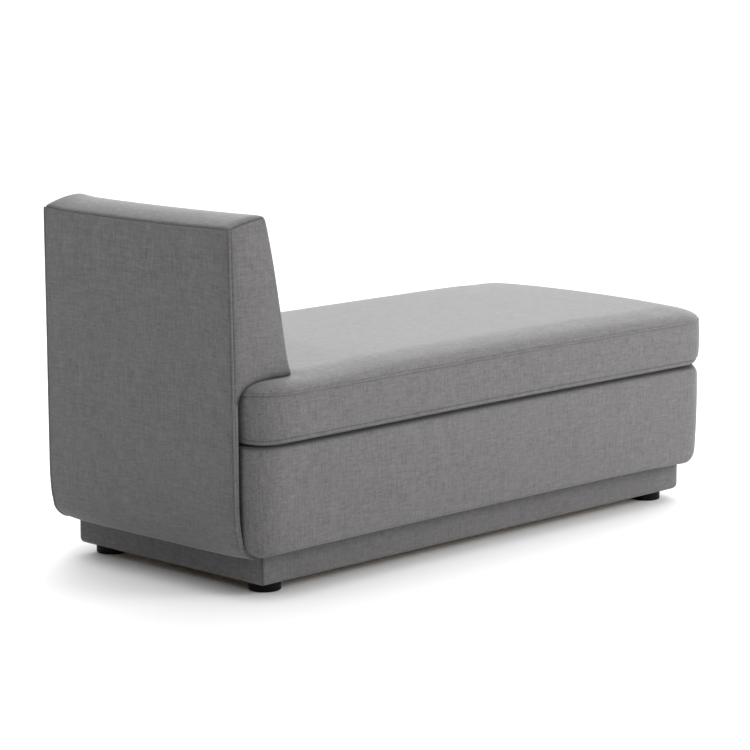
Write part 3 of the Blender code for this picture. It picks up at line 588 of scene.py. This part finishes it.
def object_noise(tree, scale, detail=2.0):
    """Noise on the piece's own coordinates, stretched by a scale for each axis."""
    place = tree.nodes.new("ShaderNodeTexCoord")
    stretch = tree.nodes.new("ShaderNodeMapping")
    stretch.inputs["Scale"].default_value = scale
    noise = tree.nodes.new("ShaderNodeTexNoise")
    noise.inputs["Scale"].default_value = 1.0
    noise.inputs["Detail"].default_value = detail
    tree.links.new(place.outputs["Object"], stretch.inputs["Vector"])
    tree.links.new(stretch.outputs[0], noise.inputs["Vector"])
    return noise.outputs["Fac"]


def calculate(tree, operation, first, second, third=None):
    node = tree.nodes.new("ShaderNodeMath")
    node.operation = operation
    for socket, value in zip(node.inputs, (first, second, third)):
        if value is None:
            continue
        if hasattr(value, "links"):
            tree.links.new(value, socket)
        else:
            socket.default_value = value
    return node.outputs[0]


def blend_colours(tree, factor, stops):
    ramp = tree.nodes.new("ShaderNodeValToRGB")
    while len(ramp.color_ramp.elements) < len(stops):
        ramp.color_ramp.elements.new(0.5)
    for element, (place, colour) in zip(ramp.color_ramp.elements, stops):
        element.position = place
        element.color = (*colour, 1.0)
    tree.links.new(factor, ramp.inputs[0])
    return ramp.outputs[0]


def add_bump(tree, shader, height, distance, strength):
    bump = tree.nodes.new("ShaderNodeBump")
    bump.inputs["Distance"].default_value = distance
    bump.inputs["Strength"].default_value = strength
    tree.links.new(height, bump.inputs["Height"])
    tree.links.new(bump.outputs[0], shader.inputs["Normal"])


def melange_cloth():
    """Grey melange weave: long slubs along each thread direction, a fine speckle and a plain-weave bump."""
    material, shader = new_material("grey_melange_cloth")
    tree = material.node_tree
    slubs = [
        object_noise(tree, (260, 260, 34)),
        object_noise(tree, (34, 260, 260)),
        object_noise(tree, (260, 34, 260)),
    ]
    speckle = object_noise(tree, (600, 600, 600), detail=1.0)
    mottle = object_noise(tree, (14, 14, 14), detail=3.0)
    tone = calculate(tree, "ADD", slubs[0], slubs[1])
    tone = calculate(tree, "ADD", tone, slubs[2])
    tone = calculate(tree, "MULTIPLY_ADD", speckle, 0.9, tone)
    tone = calculate(tree, "MULTIPLY_ADD", mottle, 0.25, tone)
    tone = calculate(tree, "MULTIPLY", tone, 1 / 4.15)
    colour = blend_colours(tree, tone, ((0.30, CLOTH_DARK), (0.50, CLOTH_MIDDLE), (0.70, CLOTH_LIGHT)))
    # Painted shade: an attribute on the pieces mixes the colour towards a dark colour at seams, gaps, slits and
    # creases, where shade falls.
    seam = tree.nodes.new("ShaderNodeAttribute")
    seam.attribute_name = "painted_shade"
    shaded = tree.nodes.new("ShaderNodeMix")
    shaded.data_type = "RGBA"
    shaded.inputs[7].default_value = (*PAINTED_SHADE_COLOUR, 1.0)
    tree.links.new(calculate(tree, "MULTIPLY", seam.outputs["Fac"], PAINTED_SHADE_STRENGTH), shaded.inputs[0])
    tree.links.new(colour, shaded.inputs[6])
    tree.links.new(shaded.outputs[2], shader.inputs["Base Color"])
    shader.inputs["Roughness"].default_value = 0.92
    shader.inputs["Specular IOR Level"].default_value = 0.15
    shader.inputs["Sheen Weight"].default_value = 0.25
    shader.inputs["Sheen Roughness"].default_value = 0.45
    threads = calculate(tree, "ADD", tone, calculate(tree, "MULTIPLY", speckle, 0.4))
    add_bump(tree, shader, threads, 0.0012, 0.35)
    return material


def plain_noise_material(name, dark, light, scale, roughness, metallic=0.0, bump=0.2, shine=0.5):
    material, shader = new_material(name)
    tree = material.node_tree
    noise = object_noise(tree, scale, detail=4.0)
    tree.links.new(blend_colours(tree, noise, ((0.3, dark), (0.7, light))), shader.inputs["Base Color"])
    shader.inputs["Roughness"].default_value = roughness
    shader.inputs["Metallic"].default_value = metallic
    shader.inputs["Specular IOR Level"].default_value = shine
    add_bump(tree, shader, noise, 0.001, bump)
    return material


def make_materials():
    return {
        "grey_cloth": melange_cloth(),
        "foam": plain_noise_material(
            "cut_foam", (0.74, 0.69, 0.55), (0.86, 0.82, 0.70), (420, 420, 420), 0.95),
        "plywood": plain_noise_material(
            "raw_plywood", (0.50, 0.36, 0.21), (0.68, 0.53, 0.35), (60, 6, 60), 0.75),
        "webbing": plain_noise_material(
            "elastic_webbing", (0.03, 0.03, 0.03), (0.07, 0.07, 0.07), (700, 700, 700), 0.8),
        "deck_cloth": plain_noise_material(
            "deck_felt", (0.02, 0.02, 0.02), (0.045, 0.045, 0.045), (500, 500, 500), 0.95),
        "black_plastic": plain_noise_material(
            "black_foot_plastic", (0.004, 0.004, 0.004), (0.008, 0.008, 0.008), (600, 600, 600), 0.55,
            bump=0.1, shine=0.08),
        "zinc_steel": plain_noise_material(
            "zinc_plate", (0.52, 0.52, 0.53), (0.66, 0.66, 0.68), (90, 90, 400), 0.35, metallic=1.0, bump=0.05),
    }


# Upholstery


def make_seat(material):
    """Boxed seat cushion with a piped top seam, pressed flat under the wedge back."""
    half_x, half_y, middle, corner = SEAT_PLAN[:4]
    first = -SEAT_ROWS[0][0]
    under = [(first + (corner - first) * share, SEAT_UNDER) for share in CORNER_LINES]

    def rows_at(step, cuts):
        turned = corner_share(step, cuts)
        rows = list(SEAT_ROWS)
        at_front = step[1] * 2 < cuts[1]
        for row, drop in enumerate(SEAT_CORNER_DROP):
            outset, height = rows[row]
            if at_front:
                near_foot = max(0.0, 1 - (height - SEAT_UNDER) / SEAT_FRONT_EASE_HEIGHT)
                outset -= SEAT_FRONT_EASE * turned * near_foot ** SEAT_FRONT_EASE_POWER
            else:
                outset *= 1 - SEAT_REAR_TUCK * turned * (row < SEAT_LOW_SEAM)
                height -= drop * turned
            rows[row] = outset, height
        return rows

    piece, steps, cuts = boxed("seat_cushion", SEAT_PLAN, SEAT_CUTS, rows_at, SEAT_SHOULDER, under)
    shoulder = SEAT_SHOULDER[-1][0]
    for vertex, step in zip(piece.data.vertices, steps):
        if step[2] == cuts[2] and ring_of(step, cuts) >= len(CORNER_LINES):
            side = 1 - math.exp(-(half_x - abs(vertex.co.x) - shoulder) / SEAT_CROWN_RUN)
            end = 1 - math.exp(-(half_y - abs(vertex.co.y - middle) - shoulder) / SEAT_CROWN_RUN)
            vertex.co.z += SEAT_CROWN * side * end
        if step[2] == cuts[2]:
            across, along = abs(vertex.co.x) / half_x, abs(vertex.co.y - middle) / half_y
            free = max(0.0, min(1.0, (SEAT_LIFT_END - vertex.co.y) / SEAT_LIFT_FADE))
            up = min(1.0, (vertex.co.z - SEAT_ROWS[-1][1]) / SEAT_LIFT_HEIGHT)
            vertex.co.z += (SEAT_LIFT - SEAT_CORNER_EASE * across ** 2 * along ** 3) * free * up
    draw_in(piece, SEAT_PLAN, SEAT_WAIST)
    indices = range(len(steps))
    mark(piece, "top_seam", [i for i in indices if steps[i][2] == cuts[2] and ring_of(steps[i], cuts) == 0])
    # Painted shade: the gap under the seat, the seams' grooves, the corner tucks and the slit behind the seat
    # are darkened.
    shares = []
    for vertex, step in zip(piece.data.vertices, steps):
        rim = ring_of(step, cuts)
        share = 0.0
        if step[2] == cuts[2] and rim == 0:
            share = SEAT_TOP_SEAM_SHADE
        elif step[2] == SEAT_LOW_SEAM:
            share = SEAT_LOW_SEAM_SHADE
        elif step[2] < len(SEAT_UNDER_SHADE):
            share = SEAT_UNDER_SHADE[step[2]]
        near_seam = step[2] in (cuts[2] - 1, SEAT_LOW_SEAM) or (step[2] == cuts[2] and rim == 1)
        if at_corner(step, cuts) and near_seam:
            share = SEAT_CORNER_SEAM_SHADE
            outward = (vertex.co - Vector((0, middle, vertex.co.z))).normalized()
            vertex.co -= outward * SEAT_CORNER_SEAM_DEPTH
        shares.append(max(share, slit_share(vertex.co, middle + half_y)))
    paint_shade(piece, shares)

    def held(place):
        return place.z < SEAT_HELD_BELOW or abs(place.z - SEAT_ROWS[-1][1]) < SEAT_HELD_SEAM

    swell(piece, held, *SEAT_SWELL)
    press_under_back(piece)
    subdivide(piece)
    welt = sew_welt(piece, "top_seam", "seat_top_welt", *SEAT_WELT)
    dress(piece, material)
    dress(welt, material)
    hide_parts("seat_cover", "seat_foam")


def press_under_back(piece):
    """Flatten the seat's top where the wedge back stands on it."""
    front = SLAB_REAR - WEDGE_FRONT[0][1]
    for vertex in piece.data.vertices:
        place = vertex.co
        if place.z < SHOULDER_START:
            continue
        inside = min(place.y - (front - PRESSED_MARGIN), BACK_HALF + PRESSED_MARGIN - abs(place.x))
        share = max(0.0, min(1.0, 1 + inside / PRESSED_FADE))
        share = share * share * (3 - 2 * share)
        place.z -= max(0.0, place.z - SEAT_PRESSED) * share


def quarter_rows(radius, low, high_side):
    """Outset and height round a lower or upper edge of that radius."""
    rows = []
    for step in range(7):
        turn = step * math.pi / 12
        if high_side:
            rows.append((radius * (math.cos(turn) - 1), low - radius + radius * math.sin(turn)))
        else:
            rows.append((radius * (math.sin(turn) - 1), low + radius - radius * math.cos(turn)))
    return rows


def make_base(material):
    """Upholstered box under the seat, open in the middle of its top and underside."""
    def rows_at(step, cuts):
        turned, end = corner_share(step, cuts), end_share(step, cuts)
        along = abs(plan_place(step, cuts, BASE_PLAN, 0.0).y - BASE_PLAN[2]) / BASE_PLAN[1]
        along = min(1.0, along / BASE_DROP_REACH) ** BASE_DROP_POWER
        if step[1] * 2 < cuts[1]:
            edge = BASE_SIDE_EDGE + (BASE_FRONT_EDGE - BASE_SIDE_EDGE) * min(1.0, 2 * end)
            edge += BASE_CORNER_EDGE * turned
            foot = BASE_UNDER - BASE_FRONT_DROP * along
            upper = quarter_rows(BASE_UPPER_EDGE + 1.5 * BASE_CORNER_EDGE * turned, BASE_TOP, True)
        else:
            edge = BASE_SIDE_EDGE + (BASE_REAR_EDGE - BASE_SIDE_EDGE) * end
            foot = BASE_UNDER - BASE_REAR_DROP * along - BASE_CORNER_DROP * turned
            upper = quarter_rows(BASE_UPPER_EDGE, BASE_TOP - SEAT_CORNER_DROP[0] * turned, True)
        rows = [(outset - BASE_DRAFT, height) for outset, height in quarter_rows(edge, foot, False)]
        low, high = rows[-1][1], upper[0][1]
        for share in BASE_SIDE_SHARES:
            outset = BASE_BULGE * math.sin(math.pi * share) - BASE_DRAFT * (1 - share)
            rows.append((outset, low + (high - low) * share))
        return rows + upper

    corner = BASE_PLAN[3]
    over = [(BASE_UPPER_EDGE + (corner - BASE_UPPER_EDGE) * share, BASE_TOP) for share in CORNER_LINES]
    under = [(BASE_SIDE_EDGE + BASE_DRAFT + (corner - 0.02) * share, BASE_UNDER) for share in CORNER_LINES]
    piece, steps, cuts = boxed("base_upholstery", BASE_PLAN, BASE_CUTS, rows_at, over, under)
    for vertex, step in zip(piece.data.vertices, steps):
        ring = ring_of(step, cuts)
        if step[2] == 0 and 0 < ring <= BASE_TURNED_RINGS:
            outset, height = rows_at(step, cuts)[0]
            outer = plan_place(step, cuts, BASE_PLAN, -outset)
            inner = plan_place(step, cuts, PLINTH_PLAN, -0.0006)
            vertex.co = outer.lerp(inner, ring / BASE_TURNED_RINGS)
            vertex.co.z = height + (BASE_UNDER - height) * ring / BASE_TURNED_RINGS
    draw_in(piece, BASE_PLAN, BASE_WAIST)
    # Painted shade: the upper edge under the seat's overhang, the corner notches and the slit behind the base
    # are darkened.
    shares = []
    for vertex, step in zip(piece.data.vertices, steps):
        down = cuts[2] - step[2]
        share = BASE_TOP_SHADE[down] if down < len(BASE_TOP_SHADE) else 0.0
        if at_corner(step, cuts) and ring_of(step, cuts) == 0 and down in BASE_NOTCH_ROWS:
            share = BASE_NOTCH_SHADE
        shares.append(max(share, slit_share(vertex.co, BASE_PLAN[2] + BASE_PLAN[1])))
    paint_shade(piece, shares)
    open_ends(piece, steps, cuts, BASE_TURNED_RINGS, BASE_TURNED_RINGS)
    subdivide(piece)
    thicken(piece, BASE_CLOTH)
    dress(piece, material)
    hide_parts("base_cover", "base_left_pad", "base_right_pad", "base_front_pad", "base_rear_pad")


def make_plinth(material):
    """Cloth-wrapped plinth, set back under the base."""
    lower = quarter_rows(PLINTH_EDGE, PLINTH_UNDER, False)
    first = lower[-1][1]
    rise = PLINTH_TOP - first
    rows = lower + [(0.0, first + rise * step / PLINTH_SIDE_ROWS) for step in range(1, PLINTH_SIDE_ROWS + 1)]
    under = [(PLINTH_EDGE + PLINTH_TURN_IN * step, PLINTH_UNDER) for step in range(len(CORNER_LINES))]
    over = [(0.001 * step, PLINTH_TOP) for step in range(len(CORNER_LINES))]
    piece, steps, cuts = boxed("plinth_wrap", PLINTH_PLAN, PLINTH_CUTS, lambda step, cuts: rows, over, under)
    # Painted shade along the seam down the rear corners.
    shares = [0.0] * len(steps)
    for index, step in enumerate(steps):
        if ring_of(step, cuts) == 0 and step[2] >= PLINTH_SEAM_ROW and step[1] * 2 > cuts[1]:
            past = max(0.0, corner_share(step, cuts) - PLINTH_SEAM_START)
            shares[index] = PLINTH_SEAM_SHADE * past / (1 - PLINTH_SEAM_START)
    paint_shade(piece, shares)
    open_ends(piece, steps, cuts, 0, PLINTH_TURNED_RINGS)
    subdivide(piece)
    thicken(piece, PLINTH_CLOTH)
    dress(piece, material)
    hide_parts("plinth_cover")


def back_lines():
    """Lines across the back, close together beside its seams."""
    straight = BACK_HALF - BACK_EDGE_WIDTH
    inner = [-straight + 2 * straight * step / BACK_SPANS for step in range(BACK_SPANS + 1)]
    sides = [BACK_HALF - line for line in BACK_SIDE_LINES]
    return [-side for side in sides] + inner + sides[::-1]


def lean_at(height):
    """How far the slab leans back at a height."""
    start = LIP_RISE[-1][2]
    return BACK_LEAN * max(0.0, height - start) / (BACK_SEAM - start)


def wedge_front(height):
    """Depth of the wedge's front face at a height."""
    for (low, deep), (high, shallow) in zip(WEDGE_FRONT, WEDGE_FRONT[1:]):
        if height <= high:
            return deep + (shallow - deep) * max(0.0, height - low) / (high - low)
    return WEDGE_FRONT[-1][1]


def back_rows():
    """Rear and front points, each as depth and height, of each row up the back."""
    rows = []
    for angle in LIP_TURNS:
        turn = math.radians(angle)
        deep, low = LIP_CENTRE
        low -= LIP_DROP * max(0.0, (angle - LIP_DROP_START) / LIP_DROP_TURN)
        rows.append([(deep - radius * math.cos(turn), low - radius * math.sin(turn)) for radius in LIP_RADII])
    for rear, front, height in LIP_RISE:
        rows.append(((rear, height), (front, height)))
    for height in SLAB_HEIGHTS:
        rows.append(((-lean_at(height), height), (SLAB_DEPTH, height)))
    for height, front in zip(MOUTH_HEIGHTS, MOUTH_CURVE):
        rows.append(((-lean_at(height), height), front))
    low, high = WEDGE_HEIGHTS[0], WEDGE_HEIGHTS[-1]
    top = BACK_SEAM + BACK_SEAM_RISE
    for height in WEDGE_HEIGHTS:
        front = WEDGE_FOOT + (height - low) * (top - WEDGE_FOOT) / (high - low)
        rows.append(((-lean_at(height), height), (wedge_front(front), front)))
    return rows


def eased(distance, radius):
    """How far a side face has turned in at a distance from its eased edge."""
    if distance >= radius:
        return 0.0
    return radius - math.sqrt(radius ** 2 - (radius - distance) ** 2)


def edge_turn(depth, height, line):
    """Distance of a spot on the side from the eased edge, a line of points, and the edge's radius there."""
    spot = Vector((depth, height))
    best, where = 1.0, Vector(line[0])
    for first, second in zip(line, line[1:]):
        start, run = Vector(first), Vector(second) - Vector(first)
        share = max(0.0, min(1.0, (spot - start).dot(run) / run.length_squared))
        nearest = start + run * share
        if (spot - nearest).length < best:
            best, where = (spot - nearest).length, nearest
    radius = MOUTH_EASE[0][1]
    if where.y > SLAB_HEIGHTS[-1]:
        for (near, small), (far, large) in zip(MOUTH_EASE, MOUTH_EASE[1:]):
            if where.x >= near:
                radius = small + (large - small) * min(1.0, (where.x - near) / (far - near))
    return best, radius


def contact_shade(distance):
    """Share of painted shade on a side at a distance from the edge that rests on the seat."""
    for (near, dark), (far, light) in zip(CONTACT_FADE, CONTACT_FADE[1:]):
        if distance <= far:
            return dark + (light - dark) * (distance - near) / (far - near)
    return 0.0


def puffed(run, *distances):
    """Share of a panel's full puff at these distances from its seams."""
    share = 1.0
    for distance in distances:
        share *= 1 - math.exp(-max(0.0, distance) / run)
    return share


def make_back(material):
    """Slab with a curled lower edge, and the wedge that leans on the seat, in one sewn cover."""
    lines, rows = back_lines(), back_rows()
    cuts = (len(lines) - 1, len(DEPTH_SHARES) - 1, len(rows) - 1)
    piece = cut_cube("back_upholstery", cuts)
    steps = grid_steps(piece, cuts)
    first_wedge = len(rows) - len(WEDGE_HEIGHTS)
    edge_line = [front for rear, front in rows[:first_wedge + 1]]
    side, top, rear_step, front_step = (0, cuts[0]), cuts[2], cuts[1], 0
    lip_run = [0.0]
    for (below, front), (above, front) in zip(rows, rows[1:]):
        lip_run.append(lip_run[-1] + math.dist(below, above))
    shares = []
    for vertex, (step_x, step_y, step_z) in zip(piece.data.vertices, steps):
        (rear_depth, rear), (front_depth, front) = rows[step_z]
        thick = max(0.0, min(1.0, (front_depth - rear_depth - SLAB_DEPTH) / BACK_THICK_RUN))
        line = cuts[1] - step_y
        depth_share = THIN_SHARES[line] + (DEPTH_SHARES[line] - THIN_SHARES[line]) * thick
        climb = 1 - (1 - depth_share) ** (1 + BACK_CLIMB * max(0, step_z - first_wedge) / (top - first_wedge))
        place = lines[step_x]
        rise = 0.0
        across = 1 - (BACK_HALF - abs(place)) / BACK_TOP_CORNER
        along = 1 - (BACK_SEAM - rear) / BACK_TOP_CORNER
        if across > 0 and along > 0:
            reach, turn = corner_turn(across, along)
            place = math.copysign(BACK_HALF - BACK_TOP_CORNER + BACK_TOP_CORNER * reach * math.cos(turn), place)
            rise = BACK_SEAM - rear - BACK_TOP_CORNER * (1 - reach * math.sin(turn))
        depth = rear_depth + (front_depth - rear_depth) * depth_share
        height = rear + (front - rear) * climb + rise
        distance, radius = edge_turn(depth, height, edge_line)
        inset = eased(distance, radius) + eased(lip_run[step_z], BACK_CORNER)
        if step_y == rear_step:
            from_side = BACK_HALF - abs(lines[step_x])
            depth -= REAR_PUFF * puffed(REAR_PUFF_RUN, from_side, BACK_SEAM - rear, lip_run[step_z] / 3)
        if step_x in side:
            front_fall = 1 - thick * math.exp(-(front_depth - depth) / SIDE_PUFF_RUN)
            from_rear = depth_share * (front_depth - rear_depth)
            inset -= SIDE_PUFF * front_fall * puffed(SIDE_PUFF_RUN, from_rear, BACK_SEAM - rear)
        if step_z == top:
            run = min(1.0, (BACK_HALF - abs(place)) / BACK_CROWN_RUN)
            arch = (1 - (1 - run) ** 2) ** 0.8 * math.sqrt(1 - (2 * depth_share - 1) ** 2)
            height += BACK_CROWN * arch
        share_up = max(0.0, (height - WEDGE_FOOT) / (BACK_SEAM - WEDGE_FOOT))
        side_share = place / BACK_HALF
        height -= share_up * (BACK_SAG * (side_share + 1) / 2 + BACK_DIP * (1 - side_share ** 2))
        low = max(0.0, 1 - lip_run[step_z] / LIP_CORNER_RUN)
        height += LIP_CORNER_LIFT * low ** 1.5 * abs(lines[step_x] / BACK_HALF) ** 8
        height += share_up * BACK_HORN * max(0.0, side_share - BACK_HORN_START) / (1 - BACK_HORN_START)
        taper = BACK_TAPER * (height - LIP_CENTRE[1]) / (BACK_SEAM - LIP_CENTRE[1])
        place *= (BACK_HALF - taper - inset) / BACK_HALF
        edges = [step_x in side, step_y in (front_step, rear_step), step_z == top]
        sewn = sum(edges) > 1 and (step_z >= first_wedge or step_y == rear_step)
        if sewn:
            groove = REAR_SEAM_DEPTH if step_y == rear_step else FRONT_SEAM_DEPTH
            if step_z == top:
                groove = TOP_SEAM_DEPTH
            place -= math.copysign(groove, place) * edges[0]
            depth += groove * (1 if step_y == rear_step else -1) * edges[1]
            height -= groove * edges[2]
        # Painted shade: in the seams and fading beside them, on the slab's front face below the mouth, and on
        # the sides near the crease where the wedge rests on the seat.
        share = (TOP_SEAM_SHADE if step_z == top else 1.0) if sewn else 0.0
        if not sewn and step_z < top:
            near_side = min(step_x, cuts[0] - step_x)
            if step_y == rear_step and near_side < len(SEAM_FADE):
                share = SEAM_FADE[near_side]
            if step_x in side and cuts[1] - step_y < len(SEAM_FADE):
                share = SEAM_FADE[cuts[1] - step_y]
            if step_z < first_wedge and step_y == front_step:
                share = 1.0
            if step_x in side:
                narrowing = 1.0 if height > SLAB_HEIGHTS[-1] else SLAB_CONTACT
                share = max(share, contact_shade(distance * narrowing))
        shares.append(share)
        vertex.co = (place, SLAB_REAR - depth, height)
    paint_shade(piece, shares)
    mark(piece, "rear_seam", [i for i, (x, y, z) in enumerate(steps) if x in side and y == rear_step])
    seams = KDTree(len(steps))
    for index, (x, y, z) in enumerate(steps):
        if (x in side) + (y in (front_step, rear_step)) + (z in (0, top)) > 1:
            seams.insert(piece.data.vertices[index].co, index)
    seams.balance()

    def held(place):
        at_seam = seams.find(place)[2] < BACK_HELD_SEAM
        return at_seam or place.z < BACK_HELD_BELOW or place.y > SLAB_REAR - BACK_HELD_REAR

    swell(piece, held, *BACK_SWELL)
    subdivide(piece)
    welt = sew_welt(piece, "rear_seam", "back_rear_welts", *BACK_WELT)
    for item in (piece, welt):
        dress(item, material)
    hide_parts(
        "back_cover", "back_panel", "back_front_foam", "back_top_foam",
        "back_left_foam", "back_right_foam")


def turn_foot(radius, low, high):
    """Turned foot with an eased rim and a flat glide let into the underside, standing at the origin."""
    bpy.ops.object.select_all(action="DESELECT")
    bpy.ops.mesh.primitive_cylinder_add(
        vertices=FOOT_SIDES, radius=radius, depth=high - low, location=(0, 0, (high + low) / 2))
    foot = bpy.context.active_object
    bpy.ops.object.transform_apply(location=True)
    cage = edit(foot)
    bpy.ops.mesh.select_mode(type="FACE")
    for face in cage.faces:
        face.select_set(face.normal.z < -0.9)
    bmesh.update_edit_mesh(foot.data)
    bpy.ops.mesh.inset(thickness=FOOT_GLIDE_RIM)
    bpy.ops.mesh.inset(thickness=FOOT_GLIDE_STEP, depth=-FOOT_GLIDE_STEP)
    bpy.ops.mesh.inset(thickness=FOOT_GLIDE_MIDDLE)
    bpy.ops.mesh.select_all(action="DESELECT")
    bpy.ops.mesh.select_mode(type="EDGE")
    for edge in cage.edges:
        out = all(vertex.co.xy.length > radius - SAME_PLACE for vertex in edge.verts)
        edge.select_set(out and abs(edge.verts[0].co.z - edge.verts[1].co.z) < SAME_PLACE)
    bmesh.update_edit_mesh(foot.data)
    bpy.ops.mesh.bevel(offset=FOOT_BEVEL, segments=4, affect="EDGES")
    leave_edit()
    only(foot)
    bpy.ops.object.shade_smooth_by_angle(angle=math.radians(FOOT_SMOOTH_ANGLE))
    apply_all(foot)
    return foot


def make_feet(material):
    """Four feet: one is turned, and the others are copies of it."""
    nodes = ("foot_front_left", "foot_front_right", "foot_rear_left", "foot_rear_right")
    low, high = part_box(nodes[0])
    first = turn_foot((high[0] - low[0]) / 2, low[2], high[2])
    stands = Vector((0.0, 0.0, 0.0))
    for node in nodes:
        low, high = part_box(node)
        middle = (Vector(low) + Vector(high)) / 2
        only(first)
        if node != nodes[0]:
            bpy.ops.object.duplicate()
        foot = bpy.context.active_object
        foot.name = foot.data.name = node + "_turned"
        bpy.ops.transform.translate(value=(middle.x - stands.x, middle.y - stands.y, 0))
        bpy.ops.object.transform_apply(location=True)
        dress(foot, material)
        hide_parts(node)
        if node == nodes[0]:
            stands = middle


# Stage


def set_camera():
    bpy.ops.object.camera_add(location=CAMERA_PLACE)
    camera = bpy.context.active_object
    camera.name = "photo_camera"
    camera.rotation_euler = Vector(CAMERA_AIM).to_track_quat("-Z", "Y").to_euler()
    camera.data.lens = CAMERA_LENS
    camera.data.sensor_width = 36.0
    camera.data.clip_end = 100.0
    bpy.context.scene.camera = camera


def seen_ray(tree):
    """1 for rays that show the stage itself: from the camera, in a gloss or through glass."""
    path = tree.nodes.new("ShaderNodeLightPath")
    seen = calculate(tree, "MAXIMUM", path.outputs["Is Camera Ray"], path.outputs["Is Glossy Ray"])
    return calculate(tree, "MAXIMUM", seen, path.outputs["Is Transmission Ray"])


def make_floor():
    bpy.ops.object.select_all(action="DESELECT")
    bpy.ops.mesh.primitive_plane_add(size=FLOOR_SIZE, location=(0, 0, 0))
    floor = bpy.context.active_object
    floor.name = "studio_floor"
    material, shader = new_material("pale_studio_floor")
    tree = material.node_tree
    shade = blend_colours(tree, seen_ray(tree), ((0.0, FLOOR_BOUNCE), (1.0, FLOOR_SEEN)))
    tree.links.new(shade, shader.inputs["Base Color"])
    shader.inputs["Roughness"].default_value = 1.0
    shader.inputs["Specular IOR Level"].default_value = 0.0
    floor.data.materials.append(material)


def sky_lobe(tree, direction, aim, sharpness, strength):
    """Soft patch of light in the studio's dome."""
    dot = tree.nodes.new("ShaderNodeVectorMath")
    dot.operation = "DOT_PRODUCT"
    dot.inputs[1].default_value = Vector(aim).normalized()
    tree.links.new(direction, dot.inputs[0])
    patch = calculate(tree, "POWER", calculate(tree, "MAXIMUM", dot.outputs["Value"], 0.0), sharpness)
    return calculate(tree, "MULTIPLY", patch, strength)


def set_light():
    """A white studio dome with soft patches overhead and to the sides, and a softbox beside the seat."""
    world = bpy.data.worlds.new("studio")
    bpy.context.scene.world = world
    world.use_nodes = True
    tree = world.node_tree
    background = tree.nodes["Background"]
    background.inputs["Color"].default_value = (1, 1, 1, 1)
    direction = tree.nodes.new("ShaderNodeTexCoord").outputs["Generated"]
    light = None
    for aim, sharpness, strength in STUDIO_PATCHES:
        patch = sky_lobe(tree, direction, aim, sharpness, strength)
        light = patch if light is None else calculate(tree, "ADD", patch, light)
    seen = seen_ray(tree)
    hidden = calculate(tree, "SUBTRACT", 1.0, seen)
    strength = calculate(tree, "MULTIPLY_ADD", light, hidden, seen)
    tree.links.new(strength, background.inputs["Strength"])
    bpy.ops.object.light_add(type="AREA", location=SOFTBOX_PLACE)
    softbox = bpy.context.active_object
    softbox.name = "side_softbox"
    aim = Vector(SOFTBOX_TARGET) - softbox.location
    softbox.rotation_euler = aim.to_track_quat("-Z", "Y").to_euler()
    softbox.data.shape = "RECTANGLE"
    softbox.data.size, softbox.data.size_y = SOFTBOX_SIZE
    softbox.data.energy = SOFTBOX


bpy.context.scene.view_settings.view_transform = "Standard"
set_camera()
make_floor()
set_light()
materials = make_materials()
for item in frame["nodes"].values():
    item.data.materials.clear()
for subpart in frame["record"]["subparts"]:
    frame["nodes"][subpart["node"]].data.materials.append(materials[subpart["material_slot"]])
make_seat(materials["grey_cloth"])
make_base(materials["grey_cloth"])
make_plinth(materials["grey_cloth"])
make_back(materials["grey_cloth"])
make_feet(materials["black_plastic"])

bpy.ops.object.select_all(action="DESELECT")
